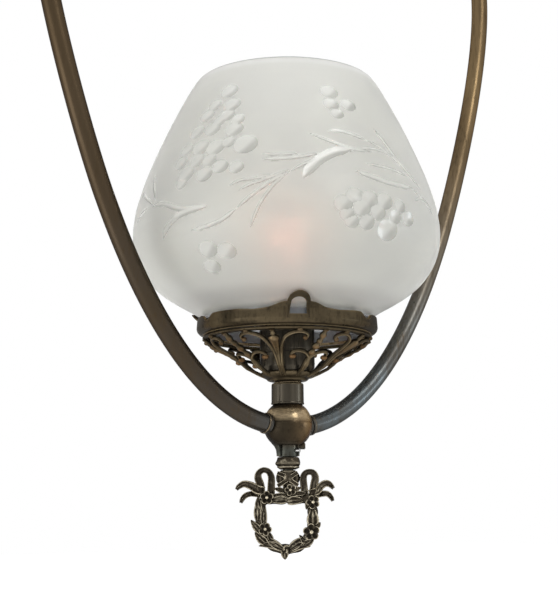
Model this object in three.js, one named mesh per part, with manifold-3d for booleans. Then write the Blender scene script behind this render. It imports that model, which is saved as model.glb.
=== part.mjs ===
// Hoop pendant light: a bronze tube bent into a tall hoop hangs from the ceiling and carries, at its foot,
// an openwork gallery with a cut and frosted glass shade, a lampholder and a wreath-shaped tap key.
// Millimetres, +Z up. The origin is the middle of the plate's face against the ceiling.

import * as THREE from 'three';
import Module from 'manifold-3d';
import { mergeVertices } from 'three/addons/utils/BufferGeometryUtils.js';

const wasm = await Module();
wasm.setup();

const degree = Math.PI / 180;

// Clearances
const seatGap = 0.3;
const boreGap = 0.3;
const overrun = 2;

// Hoop
const tubeDiameter = 11.1;
const tubeWall = 0.9;
const hoopHalfWidth = 172.4;
const hoopHeight = 472;
const stemLength = 60;

// Balls at the foot and the top of the hoop
const ballDiameter = 29;
const ballWall = 2.2;

// Gas-thread nipple that carries everything above the lower ball
const nippleDiameter = 16.6;
const nippleBore = 12.4;
const collarDiameter = 19.2;
const collarHeight = 12.4;
const threadShowing = 1.2;

// Gallery
const galleryDiameter = 108.2;
const galleryWall = 1.6;
const fitterDiameter = 101.6;
const basketDepth = 26.5;
const basketThickness = 2.2;
const bandHeight = 9.8;
const loopHeight = 7.7;

// Shade
const shadeDiameter = 185;
const shadeHeight = 154;
const shadeMouth = 107.4;
const glassWall = 2.6;

// Lampholder and bulb
const holderDiameter = 32.5;
const holderHeight = 40.4;
const capDiameter = 26.3;
const threadPitch = 3.63;
const bulbDiameter = 60;
const bulbLength = 98.5;

// Tap and wreath key
const plugDiameter = 11.2;
const wreathWidth = 39.3;
const wreathYaw = 36.8 * degree;

// Leads
const leadDiameter = 2.2;
const leadSpacing = 2.7;

// Ceiling end
const canopyDiameter = 120;
const canopyDepth = 42;
const canopyWall = 1.2;
const plateDiameter = 96;
const plateThickness = 3;
const plateBossDrop = 16;
const neckDiameter = 13;
const neckBore = 8.6;
const pivotDepth = 88;
const stemDiameter = 12.7;
const stemWall = 1;

// Half sizes
const tubeRadius = tubeDiameter / 2;
const ballRadius = ballDiameter / 2;
const cavityRadius = ballRadius - ballWall;
const nippleRadius = nippleDiameter / 2;
const neckRadius = neckDiameter / 2;
const stemRadius = stemDiameter / 2;
const leadRadius = leadDiameter / 2;
const holderRadius = holderDiameter / 2;
const galleryRadius = galleryDiameter / 2;
const shadeRadius = shadeDiameter / 2;
const fitterRadius = fitterDiameter / 2;

// Materials
const metal = (color, roughness) => new THREE.MeshStandardMaterial({ color, roughness, metalness: 1 });
const plain = (color, roughness) => new THREE.MeshStandardMaterial({ color, roughness, metalness: 0 });
const finishes = {
  tubeBronze: metal(0x5a4c3a, 0.38),
  ballBronze: metal(0x6b5238, 0.35),
  castBronze: metal(0x463a2b, 0.42),
  antiqueBronze: metal(0x4a4234, 0.4),
  brass: metal(0xb08d4f, 0.32),
  steel: metal(0x9a9c9e, 0.4),
  whitePlastic: plain(0xe4e2da, 0.5),
  porcelain: plain(0xeceae4, 0.3),
  fibre: plain(0x3a2f28, 0.8),
  lead: plain(0x8a6a3c, 0.7),
  neutral: plain(0x3d4a57, 0.7),
  frostedGlass: plain(0xd5d6d1, 0.5),
  bulbGlass: plain(0xf3efe6, 0.2),
  filament: metal(0xd9a26a, 0.5),
};

// Solids

// A geometry with shared corners merged, slivers dropped and its faces turned outwards.
function weld(geometry) {
  const bare = geometry.clone();
  bare.deleteAttribute('normal');
  bare.deleteAttribute('uv');
  const merged = mergeVertices(bare, 1e-4);
  const position = merged.getAttribute('position');
  const index = merged.getIndex().array;
  const kept = [];
  for (let i = 0; i < index.length; i += 3) {
    const [a, b, c] = [index[i], index[i + 1], index[i + 2]];
    if (a !== b && b !== c && c !== a) kept.push(a, b, c);
  }
  const corner = (k) => new THREE.Vector3().fromBufferAttribute(position, k);
  let volume = 0;
  for (let i = 0; i < kept.length; i += 3) {
    volume += corner(kept[i]).dot(corner(kept[i + 1]).cross(corner(kept[i + 2])));
  }
  if (volume < 0) kept.reverse();
  merged.setIndex(kept);
  return merged;
}

function toSolid(geometry) {
  const welded = weld(geometry);
  return new wasm.Manifold(new wasm.Mesh({
    numProp: 3,
    vertProperties: new Float32Array(welded.getAttribute('position').array),
    triVerts: new Uint32Array(welded.getIndex().array),
  }));
}

function toGeometry(solid) {
  const mesh = solid.getMesh();
  const geometry = new THREE.BufferGeometry();
  geometry.setAttribute('position', new THREE.BufferAttribute(new Float32Array(mesh.vertProperties), 3));
  geometry.setIndex(new THREE.BufferAttribute(new Uint32Array(mesh.triVerts), 1));
  return geometry;
}

const join = (solids) => solids.reduce((whole, next) => whole.add(next));
const cutBy = (solid, tools) => tools.reduce((left, tool) => left.subtract(tool), solid);

// A profile of [radius, z] points turned about Z.
function lathe(profile, segments = 18) {
  const points = profile.map(([r, z]) => new THREE.Vector2(r, z));
  return weld(new THREE.LatheGeometry(points, segments).rotateX(Math.PI / 2));
}

const rod = (radius, low, high, segments = 16) =>
  lathe([[0, low], [radius, low], [radius, high], [0, high]], segments);

const pipe = (inner, outer, low, high, segments = 18) =>
  lathe([[inner, low], [outer, low], [outer, high], [inner, high], [inner, low]], segments);

// A rod or pipe stood up along Z, laid along another direction from a point.
function along(geometry, direction, point = new THREE.Vector3()) {
  const turn = new THREE.Quaternion().setFromUnitVectors(new THREE.Vector3(0, 0, 1), direction.clone().normalize());
  return geometry.clone().applyQuaternion(turn).translate(point.x, point.y, point.z);
}

function block(lowX, highX, lowY, highY, lowZ, highZ) {
  const geometry = new THREE.BoxGeometry(highX - lowX, highY - lowY, highZ - lowZ);
  return weld(geometry.translate((lowX + highX) / 2, (lowY + highY) / 2, (lowZ + highZ) / 2));
}

function hexagon(acrossFlats, low, high) {
  return lathe([[0, low], [acrossFlats / Math.sqrt(3), low], [acrossFlats / Math.sqrt(3), high], [0, high]], 6);
}

// Rings of equal point count, skinned one to the next and capped, or closed round on themselves.
function loft(rings, closed = false) {
  const count = rings[0].length;
  const corners = [];
  const index = [];
  for (const ring of rings) for (const point of ring) corners.push(point.x, point.y, point.z);
  const spans = closed ? rings.length : rings.length - 1;
  for (let i = 0; i < spans; i += 1) {
    const from = i * count;
    const to = ((i + 1) % rings.length) * count;
    for (let j = 0; j < count; j += 1) {
      const k = (j + 1) % count;
      index.push(from + j, from + k, to + k, from + j, to + k, to + j);
    }
  }
  if (!closed) {
    const last = (rings.length - 1) * count;
    for (let j = 1; j < count - 1; j += 1) {
      index.push(0, j + 1, j);
      index.push(last, last + j, last + j + 1);
    }
  }
  const geometry = new THREE.BufferGeometry();
  geometry.setAttribute('position', new THREE.Float32BufferAttribute(corners, 3));
  geometry.setIndex(index);
  return weld(geometry);
}

// A ribbon along points: each ring is the width along the side vector and the thickness along the face vector.
function ribbon(points, sides, faces, widths, thicknesses) {
  return loft(points.map((point, i) => [[1, 1], [-1, 1], [-1, -1], [1, -1]].map(([s, f]) =>
    point.clone()
      .addScaledVector(sides[i], (s * widths[i]) / 2)
      .addScaledVector(faces[i], (f * thicknesses[i]) / 2))));
}

// Points of an arc in a profile.
function arc(centreR, centreZ, radius, from, to, steps) {
  return Array.from({ length: steps + 1 }, (_, i) => {
    const angle = from + ((to - from) * i) / steps;
    return [centreR + radius * Math.cos(angle), centreZ + radius * Math.sin(angle)];
  });
}

function sphereArc(radius, fromZ, toZ, steps) {
  return arc(0, 0, radius, Math.asin(fromZ / radius), Math.asin(toZ / radius), steps);
}

// Assembly groups. The pendant group stands on the centre of the lower ball.
const topBallZ = -(pivotDepth + stemDiameter + stemLength + ballRadius);
const light = new THREE.Group();
const pendant = new THREE.Group();
pendant.position.z = topBallZ - hoopHeight;
light.add(pendant);

function piece(group, name, geometry, material) {
  const mesh = new THREE.Mesh(geometry, material);
  mesh.name = name;
  group.add(mesh);
  return mesh;
}

// Hoop path, as shares of the hoop's half width and of its height from ball centre to ball centre.
const hoopFootShares = [[0, -0.0019], [0.4121, -0.0067], [0.6623, 0.2057], [0.7243, 0.2573]];
const hoopSideShares = [[0.7243, 0.2573], [0.7866, 0.3091], [1, 0.5237], [1, 0.6441]];
const hoopCrownShares = [[1, 0.6441], [1, 0.8407], [0.5523, 1], [0, 1]];

function hoopPath() {
  const path = new THREE.CurvePath();
  for (const shares of [hoopFootShares, hoopSideShares, hoopCrownShares]) {
    const points = shares.map(([x, z]) => new THREE.Vector3(x * hoopHalfWidth, 0, z * hoopHeight));
    path.add(new THREE.CubicBezierCurve3(...points));
  }
  path.arcLengthDivisions = 400;
  return path;
}

// Points of a regular outline with its corners on a circle.
function roundPoints(radius, sides) {
  return Array.from({ length: sides }, (_, i) => {
    const angle = (i * 2 * Math.PI) / sides;
    return new THREE.Vector2(radius * Math.cos(angle), radius * Math.sin(angle));
  });
}

// A stretch of another curve, by share of its length.
class Stretch extends THREE.Curve {
  constructor(base, from, to) {
    super();
    this.base = base;
    this.from = from;
    this.to = to;
  }

  getPoint(t, target = new THREE.Vector3()) {
    return target.copy(this.base.getPointAt(this.from + (this.to - this.from) * t));
  }
}

// The share of the hoop's length at a distance from a ball's centre.
function shareAt(path, centre, distance, from, to) {
  let [inside, outside] = [from, to];
  for (let i = 0; i < 40; i += 1) {
    const middle = (inside + outside) / 2;
    if (path.getPointAt(middle).distanceTo(centre) < distance) inside = middle;
    else outside = middle;
  }
  return inside;
}

const hoop = hoopPath();
const footCentre = new THREE.Vector3(0, 0, 0);
const crownCentre = new THREE.Vector3(0, 0, hoopHeight);
const armInset = cavityRadius + seatGap;
const footShare = shareAt(hoop, footCentre, armInset, 0, 0.3);
const crownShare = shareAt(hoop, crownCentre, armInset, 1, 0.7);

const mirrored = (geometry) => weld(geometry.clone().scale(-1, 1, 1));

const armSpans = 32;

function hoopArm() {
  const outline = new THREE.Shape(roundPoints(tubeRadius, 10));
  outline.holes.push(new THREE.Path(roundPoints(tubeRadius - tubeWall, 6)));
  return weld(new THREE.ExtrudeGeometry(outline, {
    steps: armSpans,
    bevelEnabled: false,
    extrudePath: new Stretch(hoop, footShare, crownShare),
  }));
}

const armBoreRadius = tubeRadius + boreGap;

// An end of an arm: the place inside a ball where it starts, and the direction of its first straight span.
function armEnd(from, to) {
  const point = hoop.getPointAt(from);
  const next = hoop.getPointAt(from + (to - from) / armSpans);
  return { point, direction: next.sub(point).normalize() };
}

const footEntry = armEnd(footShare, crownShare);
const crownEntry = armEnd(crownShare, footShare);

// The bore of a ball for one arm, and its mirror image.
function armBores(entry, centre) {
  const reach = ballRadius + overrun;
  const bore = along(rod(armBoreRadius, -ballRadius / 2, reach), entry.direction, entry.point.clone().sub(centre));
  return [toSolid(bore), toSolid(mirrored(bore))];
}

// A thin lip round an arm where it meets a ball.
const armRingRadius = tubeRadius + 0.09 * tubeDiameter;
const armRingWidth = 0.14 * tubeDiameter;

function armRing(entry, centre) {
  const lip = pipe(armBoreRadius, armRingRadius, -armRingWidth, armRingWidth, 12);
  const seat = Math.sqrt(ballRadius ** 2 - armRingRadius ** 2) - entry.point.distanceTo(centre);
  const place = entry.point.clone().sub(centre).addScaledVector(entry.direction, seat + armRingWidth);
  const clearRadius = ballRadius + 2 * seatGap;
  const clear = toSolid(lathe(sphereArc(clearRadius, -clearRadius, clearRadius, 12), 20));
  return toGeometry(toSolid(along(lip, entry.direction, place)).subtract(clear));
}

piece(pendant, 'hoop_arm_right', hoopArm(), finishes.tubeBronze);
piece(pendant, 'hoop_arm_left', mirrored(hoopArm()), finishes.tubeBronze);
const footRing = armRing(footEntry, footCentre);
const crownRing = armRing(crownEntry, crownCentre).translate(0, 0, hoopHeight);
piece(pendant, 'foot_ring_right', footRing, finishes.ballBronze);
piece(pendant, 'foot_ring_left', mirrored(footRing), finishes.ballBronze);
piece(pendant, 'crown_ring_right', crownRing, finishes.ballBronze);
piece(pendant, 'crown_ring_left', mirrored(crownRing), finishes.ballBronze);

// Lower ball with the barrel of the old gas tap under it
const plugRadius = plugDiameter / 2;
const barrelBore = plugRadius + boreGap;
const barrelWall = 0.9;
const barrelLength = 6.6;
const barrelFloorZ = -0.862 * cavityRadius;
const barrelLowZ = -(0.82 * ballRadius + barrelLength);
const grooveDepth = 0.3;
const grooveZ = 1.2;
const tapWindow = [-43 * degree, 75 * degree];
const lugWidth = 20 * degree;
const lugRadius = 0.71 * ballRadius;

// A wedge about Z, from one angle to another as seen from the front of the key.
function wedge(radius, from, to, low, high) {
  const shape = new THREE.Shape();
  shape.moveTo(0, 0);
  const steps = 4;
  for (let i = 0; i <= steps; i += 1) {
    const angle = from + ((to - from) * i) / steps - Math.PI / 2 - wreathYaw;
    shape.lineTo(radius * Math.cos(angle), radius * Math.sin(angle));
  }
  shape.closePath();
  const geometry = new THREE.ExtrudeGeometry(shape, { depth: high - low, bevelEnabled: false });
  return toSolid(geometry.translate(0, 0, low));
}

function lowerBall() {
  const topRadius = nippleRadius + boreGap;
  const topZ = Math.sqrt(ballRadius ** 2 - topRadius ** 2);
  const cavityTopZ = Math.sqrt(cavityRadius ** 2 - topRadius ** 2);
  const pocketZ = -0.78 * cavityRadius;
  const pocketRadius = Math.sqrt(cavityRadius ** 2 - pocketZ ** 2);
  const barrelOuter = barrelBore + barrelWall;
  const profile = [
    [barrelBore, barrelLowZ],
    [barrelOuter, barrelLowZ],
    [barrelOuter + barrelWall / 2, barrelLowZ + 0.57 * barrelLength],
    [barrelOuter + 1.7 * barrelWall, barrelLowZ + 0.83 * barrelLength],
    ...sphereArc(ballRadius, barrelLowZ + 1.06 * barrelLength, grooveZ - grooveDepth, 5),
    [Math.sqrt(ballRadius ** 2 - grooveZ ** 2) - grooveDepth, grooveZ],
    ...sphereArc(ballRadius, grooveZ + grooveDepth, topZ, 4),
    ...sphereArc(cavityRadius, cavityTopZ, pocketZ, 5),
    [pocketRadius, barrelFloorZ],
    [barrelBore, barrelFloorZ],
    [barrelBore, barrelLowZ],
  ];
  const window = wedge(ballRadius, ...tapWindow, barrelLowZ - overrun, barrelLowZ + barrelLength);
  const lugRange = [tapWindow[1], tapWindow[1] + lugWidth];
  const lugLow = barrelLowZ + 0.6 * barrelLength;
  const lug = wedge(lugRadius, ...lugRange, lugLow, barrelLowZ + 1.15 * barrelLength)
    .subtract(toSolid(rod(barrelBore + barrelWall / 2, lugLow - overrun, 0)));
  const shell = toSolid(lathe(profile, 18)).subtract(window).add(lug);
  return toGeometry(cutBy(shell, armBores(footEntry, footCentre)));
}

piece(pendant, 'lower_ball', lowerBall(), finishes.ballBronze);

// Upper ball, open at the top for the stem
function upperBall() {
  const topRadius = stemRadius + boreGap;
  const topZ = Math.sqrt(ballRadius ** 2 - topRadius ** 2);
  const profile = [
    ...sphereArc(ballRadius, -ballRadius, topZ, 8),
    ...sphereArc(cavityRadius, Math.sqrt(cavityRadius ** 2 - topRadius ** 2), -cavityRadius, 5),
  ];
  const shell = toSolid(lathe(profile, 18));
  return toGeometry(cutBy(shell, armBores(crownEntry, crownCentre))).translate(0, 0, hoopHeight);
}

piece(pendant, 'upper_ball', upperBall(), finishes.ballBronze);

// Tap plug with its stop pin, held from inside by a washer and a screw; the key is screwed on below
const key = new THREE.Group();
key.rotation.z = -wreathYaw;
pendant.add(key);

const plugTopZ = barrelFloorZ - seatGap;
const studRadius = 0.27 * plugDiameter;
const studLength = 8.4;
const screwRadius = 1.5;
const screwDepth = 5;
const stopPinRadius = 1.2;
const stopPinZ = barrelLowZ + barrelLength / 2;
const stopPinReach = barrelBore + 2.2 * barrelWall;
const stopClear = 2 * degree;
const stopPinHalfAngle = Math.asin(stopPinRadius / barrelBore);
const stopPinAngle = tapWindow[1] - stopClear - stopPinHalfAngle;
const plugLowZ = barrelLowZ - seatGap;

const atKeyAngle = (angle) => new THREE.Vector3(Math.sin(angle), -Math.cos(angle), 0);

function tapPlug() {
  const profile = [
    [0, plugLowZ - studLength],
    [studRadius, plugLowZ - studLength],
    [studRadius, plugLowZ],
    [plugRadius, plugLowZ],
    [plugRadius, plugTopZ],
    [screwRadius + boreGap, plugTopZ],
    [screwRadius + boreGap, plugTopZ - screwDepth],
    [0, plugTopZ - screwDepth],
  ];
  const pinHole = along(
    rod(stopPinRadius + boreGap, plugRadius / 2, plugRadius + overrun, 12),
    atKeyAngle(stopPinAngle),
    new THREE.Vector3(0, 0, stopPinZ),
  );
  return toGeometry(toSolid(lathe(profile, 20)).subtract(toSolid(pinHole)));
}

const stopPin = along(
  rod(stopPinRadius, plugRadius / 2 + seatGap, stopPinReach, 12),
  atKeyAngle(stopPinAngle),
  new THREE.Vector3(0, 0, stopPinZ),
);
const washerLowZ = barrelFloorZ + seatGap;
const washerThickness = 0.8;
const washerRadius = 0.56 * cavityRadius;
const headLowZ = washerLowZ + washerThickness + seatGap;
const headHeight = 1.6;
const plugScrew = lathe([
  [0, plugTopZ - screwDepth + seatGap],
  [screwRadius, plugTopZ - screwDepth + seatGap],
  [screwRadius, headLowZ],
  [2.1 * screwRadius, headLowZ],
  [2.1 * screwRadius, headLowZ + headHeight],
  [0, headLowZ + headHeight],
], 16);

piece(key, 'tap_plug', tapPlug(), finishes.brass);
piece(key, 'stop_pin', stopPin, finishes.steel);
const plugWasher = pipe(screwRadius + boreGap, washerRadius, washerLowZ, washerLowZ + washerThickness, 20);
piece(key, 'plug_washer', plugWasher, finishes.brass);
piece(key, 'plug_screw', plugScrew, finishes.brass);

// Turned bead between the plug and the wreath
const beadRadius = 7.4;
const beadHeight = 7.2;
const beadTopZ = plugLowZ - seatGap;
const beadLowZ = beadTopZ - beadHeight;
const keyBead = lathe([
  [studRadius + boreGap, beadTopZ],
  [0.8 * beadRadius, beadTopZ],
  [0.86 * beadRadius, beadTopZ - 0.14 * beadHeight],
  [beadRadius, beadTopZ - 0.5 * beadHeight],
  [0.97 * beadRadius, beadTopZ - 0.62 * beadHeight],
  [0.86 * beadRadius, beadTopZ - 0.74 * beadHeight],
  [0.88 * beadRadius, beadTopZ - 0.84 * beadHeight],
  [0.62 * beadRadius, beadLowZ],
  [studRadius + boreGap, beadLowZ],
  [studRadius + boreGap, beadTopZ],
], 18);
piece(key, 'key_bead', keyBead, finishes.antiqueBronze);

// Wreath key, flat in X and Z, its face towards -Y. Places are shares of its width from the top of its boss:
// a garland of paired leaves rises from a knot at the foot to a cross bar with a bow on either side.
const wreathTopZ = beadLowZ - seatGap;
const garlandRimShare = 0.066;
const bossWidthShare = 0.33;
const bossHeightShare = 0.25;
const ribbonDepthShare = 0.13;
const bowThicknessShare = 0.09;
const tailThicknessShare = 0.084;
const tailTaper = 0.3;
const garlandShares = [
  [0, -1.14], [0.15, -1.094], [0.28, -1.003], [0.369, -0.86], [0.405, -0.69], [0.399, -0.53],
  [0.341, -0.423], [0.191, -0.387], [0, -0.379],
];
const leftBowShares = [
  [-0.26, -0.328], [-0.247, -0.163], [-0.249, -0.061], [-0.305, 0.005], [-0.382, 0.015],
  [-0.455, -0.031], [-0.461, -0.102], [-0.417, -0.204], [-0.397, -0.379],
];
const rightBowShares = [
  [0.249, -0.341], [0.239, -0.189], [0.226, -0.099], [0.26, -0.033], [0.321, -0.016],
  [0.382, -0.041], [0.407, -0.107], [0.389, -0.201], [0.372, -0.367],
];
const tailShares = [
  [[-0.402, -0.331], [-0.468, -0.288], [-0.545, -0.222], [-0.654, -0.189], [-0.743, -0.232], [-0.776, -0.267]],
  [[-0.397, -0.351], [-0.468, -0.341], [-0.545, -0.341], [-0.621, -0.351], [-0.677, -0.407], [-0.7, -0.461]],
  [[0.356, -0.326], [0.433, -0.311], [0.489, -0.245], [0.542, -0.183], [0.598, -0.189], [0.664, -0.255]],
  [[0.356, -0.379], [0.433, -0.356], [0.509, -0.341], [0.575, -0.331], [0.631, -0.387], [0.659, -0.433]],
];
const flowerShares = [
  [0.038, -0.295], [-0.313, -0.402], [0.366, -0.461], [-0.346, -0.858], [0.346, -0.909],
];
const flowerRadiusShare = 0.088;
const flowerRiseShare = 0.1;
const leafLengthShare = 0.32;
const leafWidthShare = 0.12;
const leafDepthShare = 0.075;
const leafPlaces = [0.13, 0.32, 0.52, 0.84];
const leafSplay = 0.42;
const knotShare = 0.1;

const yAxis = new THREE.Vector3(0, 1, 0);
const wreathPoint = (x, z) => new THREE.Vector3(x * wreathWidth, 0, wreathTopZ + z * wreathWidth);
const flipX = (shares) => shares.map(([x, z]) => [-x, z]);

function wreathCurve(shares, closed = false) {
  return new THREE.CatmullRomCurve3(shares.map(([x, z]) => wreathPoint(x, z)), closed);
}

// The solid rim of the garland: a six-sided section carried round the closed path.
function garlandRim() {
  const back = flipX(garlandShares.slice(1, -1)).reverse();
  const curve = wreathCurve([...garlandShares, ...back], true);
  const radius = garlandRimShare * wreathWidth;
  const steps = 22;
  const rings = Array.from({ length: steps }, (_, i) => {
    const centre = curve.getPointAt(i / steps);
    const across = new THREE.Vector3().crossVectors(curve.getTangentAt(i / steps), yAxis).normalize();
    return Array.from({ length: 6 }, (_corner, j) => {
      const angle = (j * Math.PI) / 3;
      return centre.clone()
        .addScaledVector(across, radius * Math.cos(angle))
        .addScaledVector(yAxis, radius * Math.sin(angle));
    });
  });
  return toSolid(loft(rings, true));
}

function wreathBand(shares, thicknessShare, taper) {
  const curve = wreathCurve(shares);
  const steps = shares.length;
  const places = Array.from({ length: steps + 1 }, (_, i) => i / steps);
  const faces = places.map((t) => new THREE.Vector3().crossVectors(curve.getTangentAt(t), yAxis).normalize());
  return toSolid(ribbon(
    places.map((t) => curve.getPointAt(t)),
    places.map(() => yAxis),
    faces,
    places.map((t) => (1 - taper * t) * ribbonDepthShare * wreathWidth),
    places.map((t) => (1 - taper * t) * thicknessShare * wreathWidth),
  ));
}

// A leaf that grows along the garland from a place on its path: pointed, with a raised midrib.
function wreathLeaf(curve, place, outward) {
  const length = leafLengthShare * wreathWidth;
  const width = leafWidthShare * wreathWidth;
  const depth = leafDepthShare * wreathWidth;
  const tangent = curve.getTangentAt(place);
  const outwards = new THREE.Vector3().crossVectors(tangent, yAxis).normalize().multiplyScalar(outward);
  const start = curve.getPointAt(place).addScaledVector(outwards, 0.3 * width);
  const forward = tangent.addScaledVector(outwards, leafSplay).normalize();
  const across = new THREE.Vector3().crossVectors(forward, yAxis).normalize();
  const shares = [[-0.4, 0.4], [0.1, 1], [0.6, 0.1]];
  return toSolid(loft(shares.map(([t, w]) => {
    const point = start.clone().addScaledVector(forward, t * length);
    return [
      point.clone().addScaledVector(across, (w * width) / 2),
      point.clone().addScaledVector(yAxis, depth * (0.4 + 0.6 * w)),
      point.clone().addScaledVector(across, (-w * width) / 2),
      point.clone().addScaledVector(yAxis, -depth * (0.4 + 0.6 * w)),
    ];
  })));
}

// A flower of five petals standing proud of the wreath's face.
function wreathFlower([x, z]) {
  const radius = flowerRadiusShare * wreathWidth;
  const rise = flowerRiseShare * wreathWidth;
  const petals = 5;
  const ring = (scale, notch, height) => Array.from({ length: 2 * petals }, (_, i) => {
    const angle = (i * Math.PI) / petals;
    const r = scale * radius * (i % 2 ? notch : 1);
    return wreathPoint(x, z).add(new THREE.Vector3(r * Math.sin(angle), -height * rise, r * Math.cos(angle)));
  });
  return toSolid(loft([ring(0.8, 0.8, 0), ring(1, 0.72, 0.85), ring(0.35, 0.9, 1.15)]));
}

function wreathKey() {
  const bossRadius = (bossWidthShare * wreathWidth) / 2;
  const bossHeight = bossHeightShare * wreathWidth;
  const boss = toSolid(lathe([
    [0, wreathTopZ - bossHeight],
    [0.75 * bossRadius, wreathTopZ - 0.97 * bossHeight],
    [bossRadius, wreathTopZ - 0.6 * bossHeight],
    [0.85 * bossRadius, wreathTopZ - 0.2 * bossHeight],
    [0.65 * bossRadius, wreathTopZ],
    [0, wreathTopZ],
  ], 12));
  const socketLowZ = plugLowZ - studLength - seatGap;
  const socket = toSolid(rod(studRadius + boreGap, socketLowZ, wreathTopZ + overrun, 10));
  const leaves = [garlandShares, flipX(garlandShares)].flatMap((shares) => {
    const curve = wreathCurve(shares);
    return leafPlaces.flatMap((place) => [-1, 1].map((outward) => wreathLeaf(curve, place, outward)));
  });
  const knotRadius = knotShare * wreathWidth;
  const knot = toSolid(lathe([
    [0, -1.5 * knotRadius],
    [0.5 * knotRadius, -1.45 * knotRadius],
    [knotRadius, 0],
    [0.8 * knotRadius, 0.8 * knotRadius],
    [0, 1.1 * knotRadius],
  ], 8).translate(...wreathPoint(...garlandShares[0]).toArray()));
  const whole = join([
    garlandRim(),
    boss,
    knot,
    wreathBand(leftBowShares, bowThicknessShare, 0),
    wreathBand(rightBowShares, bowThicknessShare, 0),
    ...tailShares.map((shares) => wreathBand(shares, tailThicknessShare, tailTaper)),
    ...leaves,
    ...flowerShares.map(wreathFlower),
  ]);
  return toGeometry(whole.subtract(socket));
}

piece(key, 'wreath_key', wreathKey(), finishes.antiqueBronze);

// Nipple and collar above the ball
const collarLowZ = Math.sqrt(ballRadius ** 2 - (nippleRadius + boreGap) ** 2) + seatGap;
const collarTopZ = collarLowZ + collarHeight;
const basketLowZ = collarTopZ + threadShowing;
const bossHeight = 4.6;
const bossTopZ = basketLowZ + bossHeight;
const holderLowZ = bossTopZ + seatGap;
const cupFloor = 1.2;
const nippleLowZ = Math.sqrt(cavityRadius ** 2 - (nippleRadius + boreGap) ** 2) + seatGap;
const nutLowZ = holderLowZ + cupFloor + seatGap;
const nutHeight = 2.6;
const nippleTopZ = nutLowZ + nutHeight + seatGap;
const nippleInner = nippleBore / 2;

piece(pendant, 'gas_nipple', pipe(nippleInner, nippleRadius, nippleLowZ, nippleTopZ), finishes.brass);

const collarRadius = collarDiameter / 2;
const collarRound = 0.9;
const nippleCollar = lathe([
  [nippleRadius + boreGap, collarLowZ],
  [collarRadius, collarLowZ],
  [0.98 * collarRadius, collarTopZ - collarRound],
  ...arc(0.98 * collarRadius - collarRound, collarTopZ - collarRound, collarRound, 0, Math.PI / 2, 2).slice(1),
  [nippleRadius + boreGap, collarTopZ],
  [nippleRadius + boreGap, collarLowZ],
], 22);
piece(pendant, 'nipple_collar', nippleCollar, finishes.castBronze);

// Openwork basket. Radii and heights of its wall as shares of the rim's radius and of the basket's depth.
const rimOuter = 0.935 * galleryRadius;
const rimInner = 0.868 * galleryRadius;
const basketWallShares = [
  [0.19, 0], [0.257, 0.066], [0.375, 0.173], [0.474, 0.28], [0.543, 0.403], [0.613, 0.523],
  [0.731, 0.654], [0.87, 0.798], [0.99, 0.988], [1.05, 1.08],
];
const rimHeight = 1.9;
const rimLowZ = basketLowZ + basketDepth - rimHeight;
const rimTopZ = basketLowZ + basketDepth;
const cells = 5;
const cellAngle = (360 / cells) * degree;
const firstVaseAngle = 7.2 * degree;
const bossRadius = 0.43 * rimOuter;

// Height of the basket's middle surface at a radius.
function basketZ(radius) {
  const share = radius / rimOuter;
  const last = basketWallShares.length - 1;
  let i = 0;
  while (i < last - 1 && basketWallShares[i + 1][0] < share) i += 1;
  const [r0, z0] = basketWallShares[i];
  const [r1, z1] = basketWallShares[i + 1];
  const z = z0 + ((z1 - z0) * (share - r0)) / (r1 - r0);
  return basketLowZ + basketThickness / 2 + z * (basketDepth - basketThickness);
}

// Strokes of one cell: [degrees from the stroke's upright, share of the rim's radius, share of a full width].
const strokeWidth = 0.125 * rimOuter;
const vaseShares = [
  [0, 0.4, 0.25], [0, 0.58, 0.34], [0, 0.89, 0.95], [0, 0.92, 0.4], [0, 0.972, 0.55],
];
const chainShares = [
  [0, 0.4, 0.3], [0, 0.6, 0.68], [0, 0.71, 0.34], [0, 0.8, 0.58], [0, 0.972, 0.46],
];
const scrollShares = [
  [2.4, 0.4, 0.3], [3.7, 0.585, 0.34], [6.5, 0.75, 0.36], [10.6, 0.89, 0.38], [16.5, 0.945, 0.4],
  [24.5, 0.93, 0.4], [24, 0.855, 0.44],
];
const spiralShares = [
  [0.8, 0.41, 0.3], [-1, 0.54, 0.36], [-10, 0.62, 0.38], [-20.5, 0.59, 0.38], [-16.5, 0.525, 0.48],
];

function basketStroke(shares, upright, side) {
  const place = ([angle, radius]) => {
    const turn = upright + side * angle * degree;
    const r = radius * rimOuter;
    return new THREE.Vector3(r * Math.cos(turn), r * Math.sin(turn), basketZ(r));
  };
  const points = shares.map(place);
  const faces = shares.map(([angle, radius]) => {
    const turn = upright + side * angle * degree;
    const r = radius * rimOuter;
    const step = 0.02 * rimOuter;
    const slope = (basketZ(r + step) - basketZ(r - step)) / (2 * step);
    return new THREE.Vector3(-slope * Math.cos(turn), -slope * Math.sin(turn), 1).normalize();
  });
  const sides = points.map((point, i) => {
    const onward = points[Math.min(i + 1, points.length - 1)].clone().sub(points[Math.max(i - 1, 0)]);
    return new THREE.Vector3().crossVectors(faces[i], onward).normalize();
  });
  const widths = shares.map(([, , width]) => width * strokeWidth);
  const half = basketThickness / 2;
  return toSolid(loft(points.map((point, i) => [
    point.clone().addScaledVector(sides[i], widths[i] / 2).addScaledVector(faces[i], -half),
    point.clone().addScaledVector(sides[i], -widths[i] / 2).addScaledVector(faces[i], -half),
    point.clone().addScaledVector(faces[i], half),
  ])));
}

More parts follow.
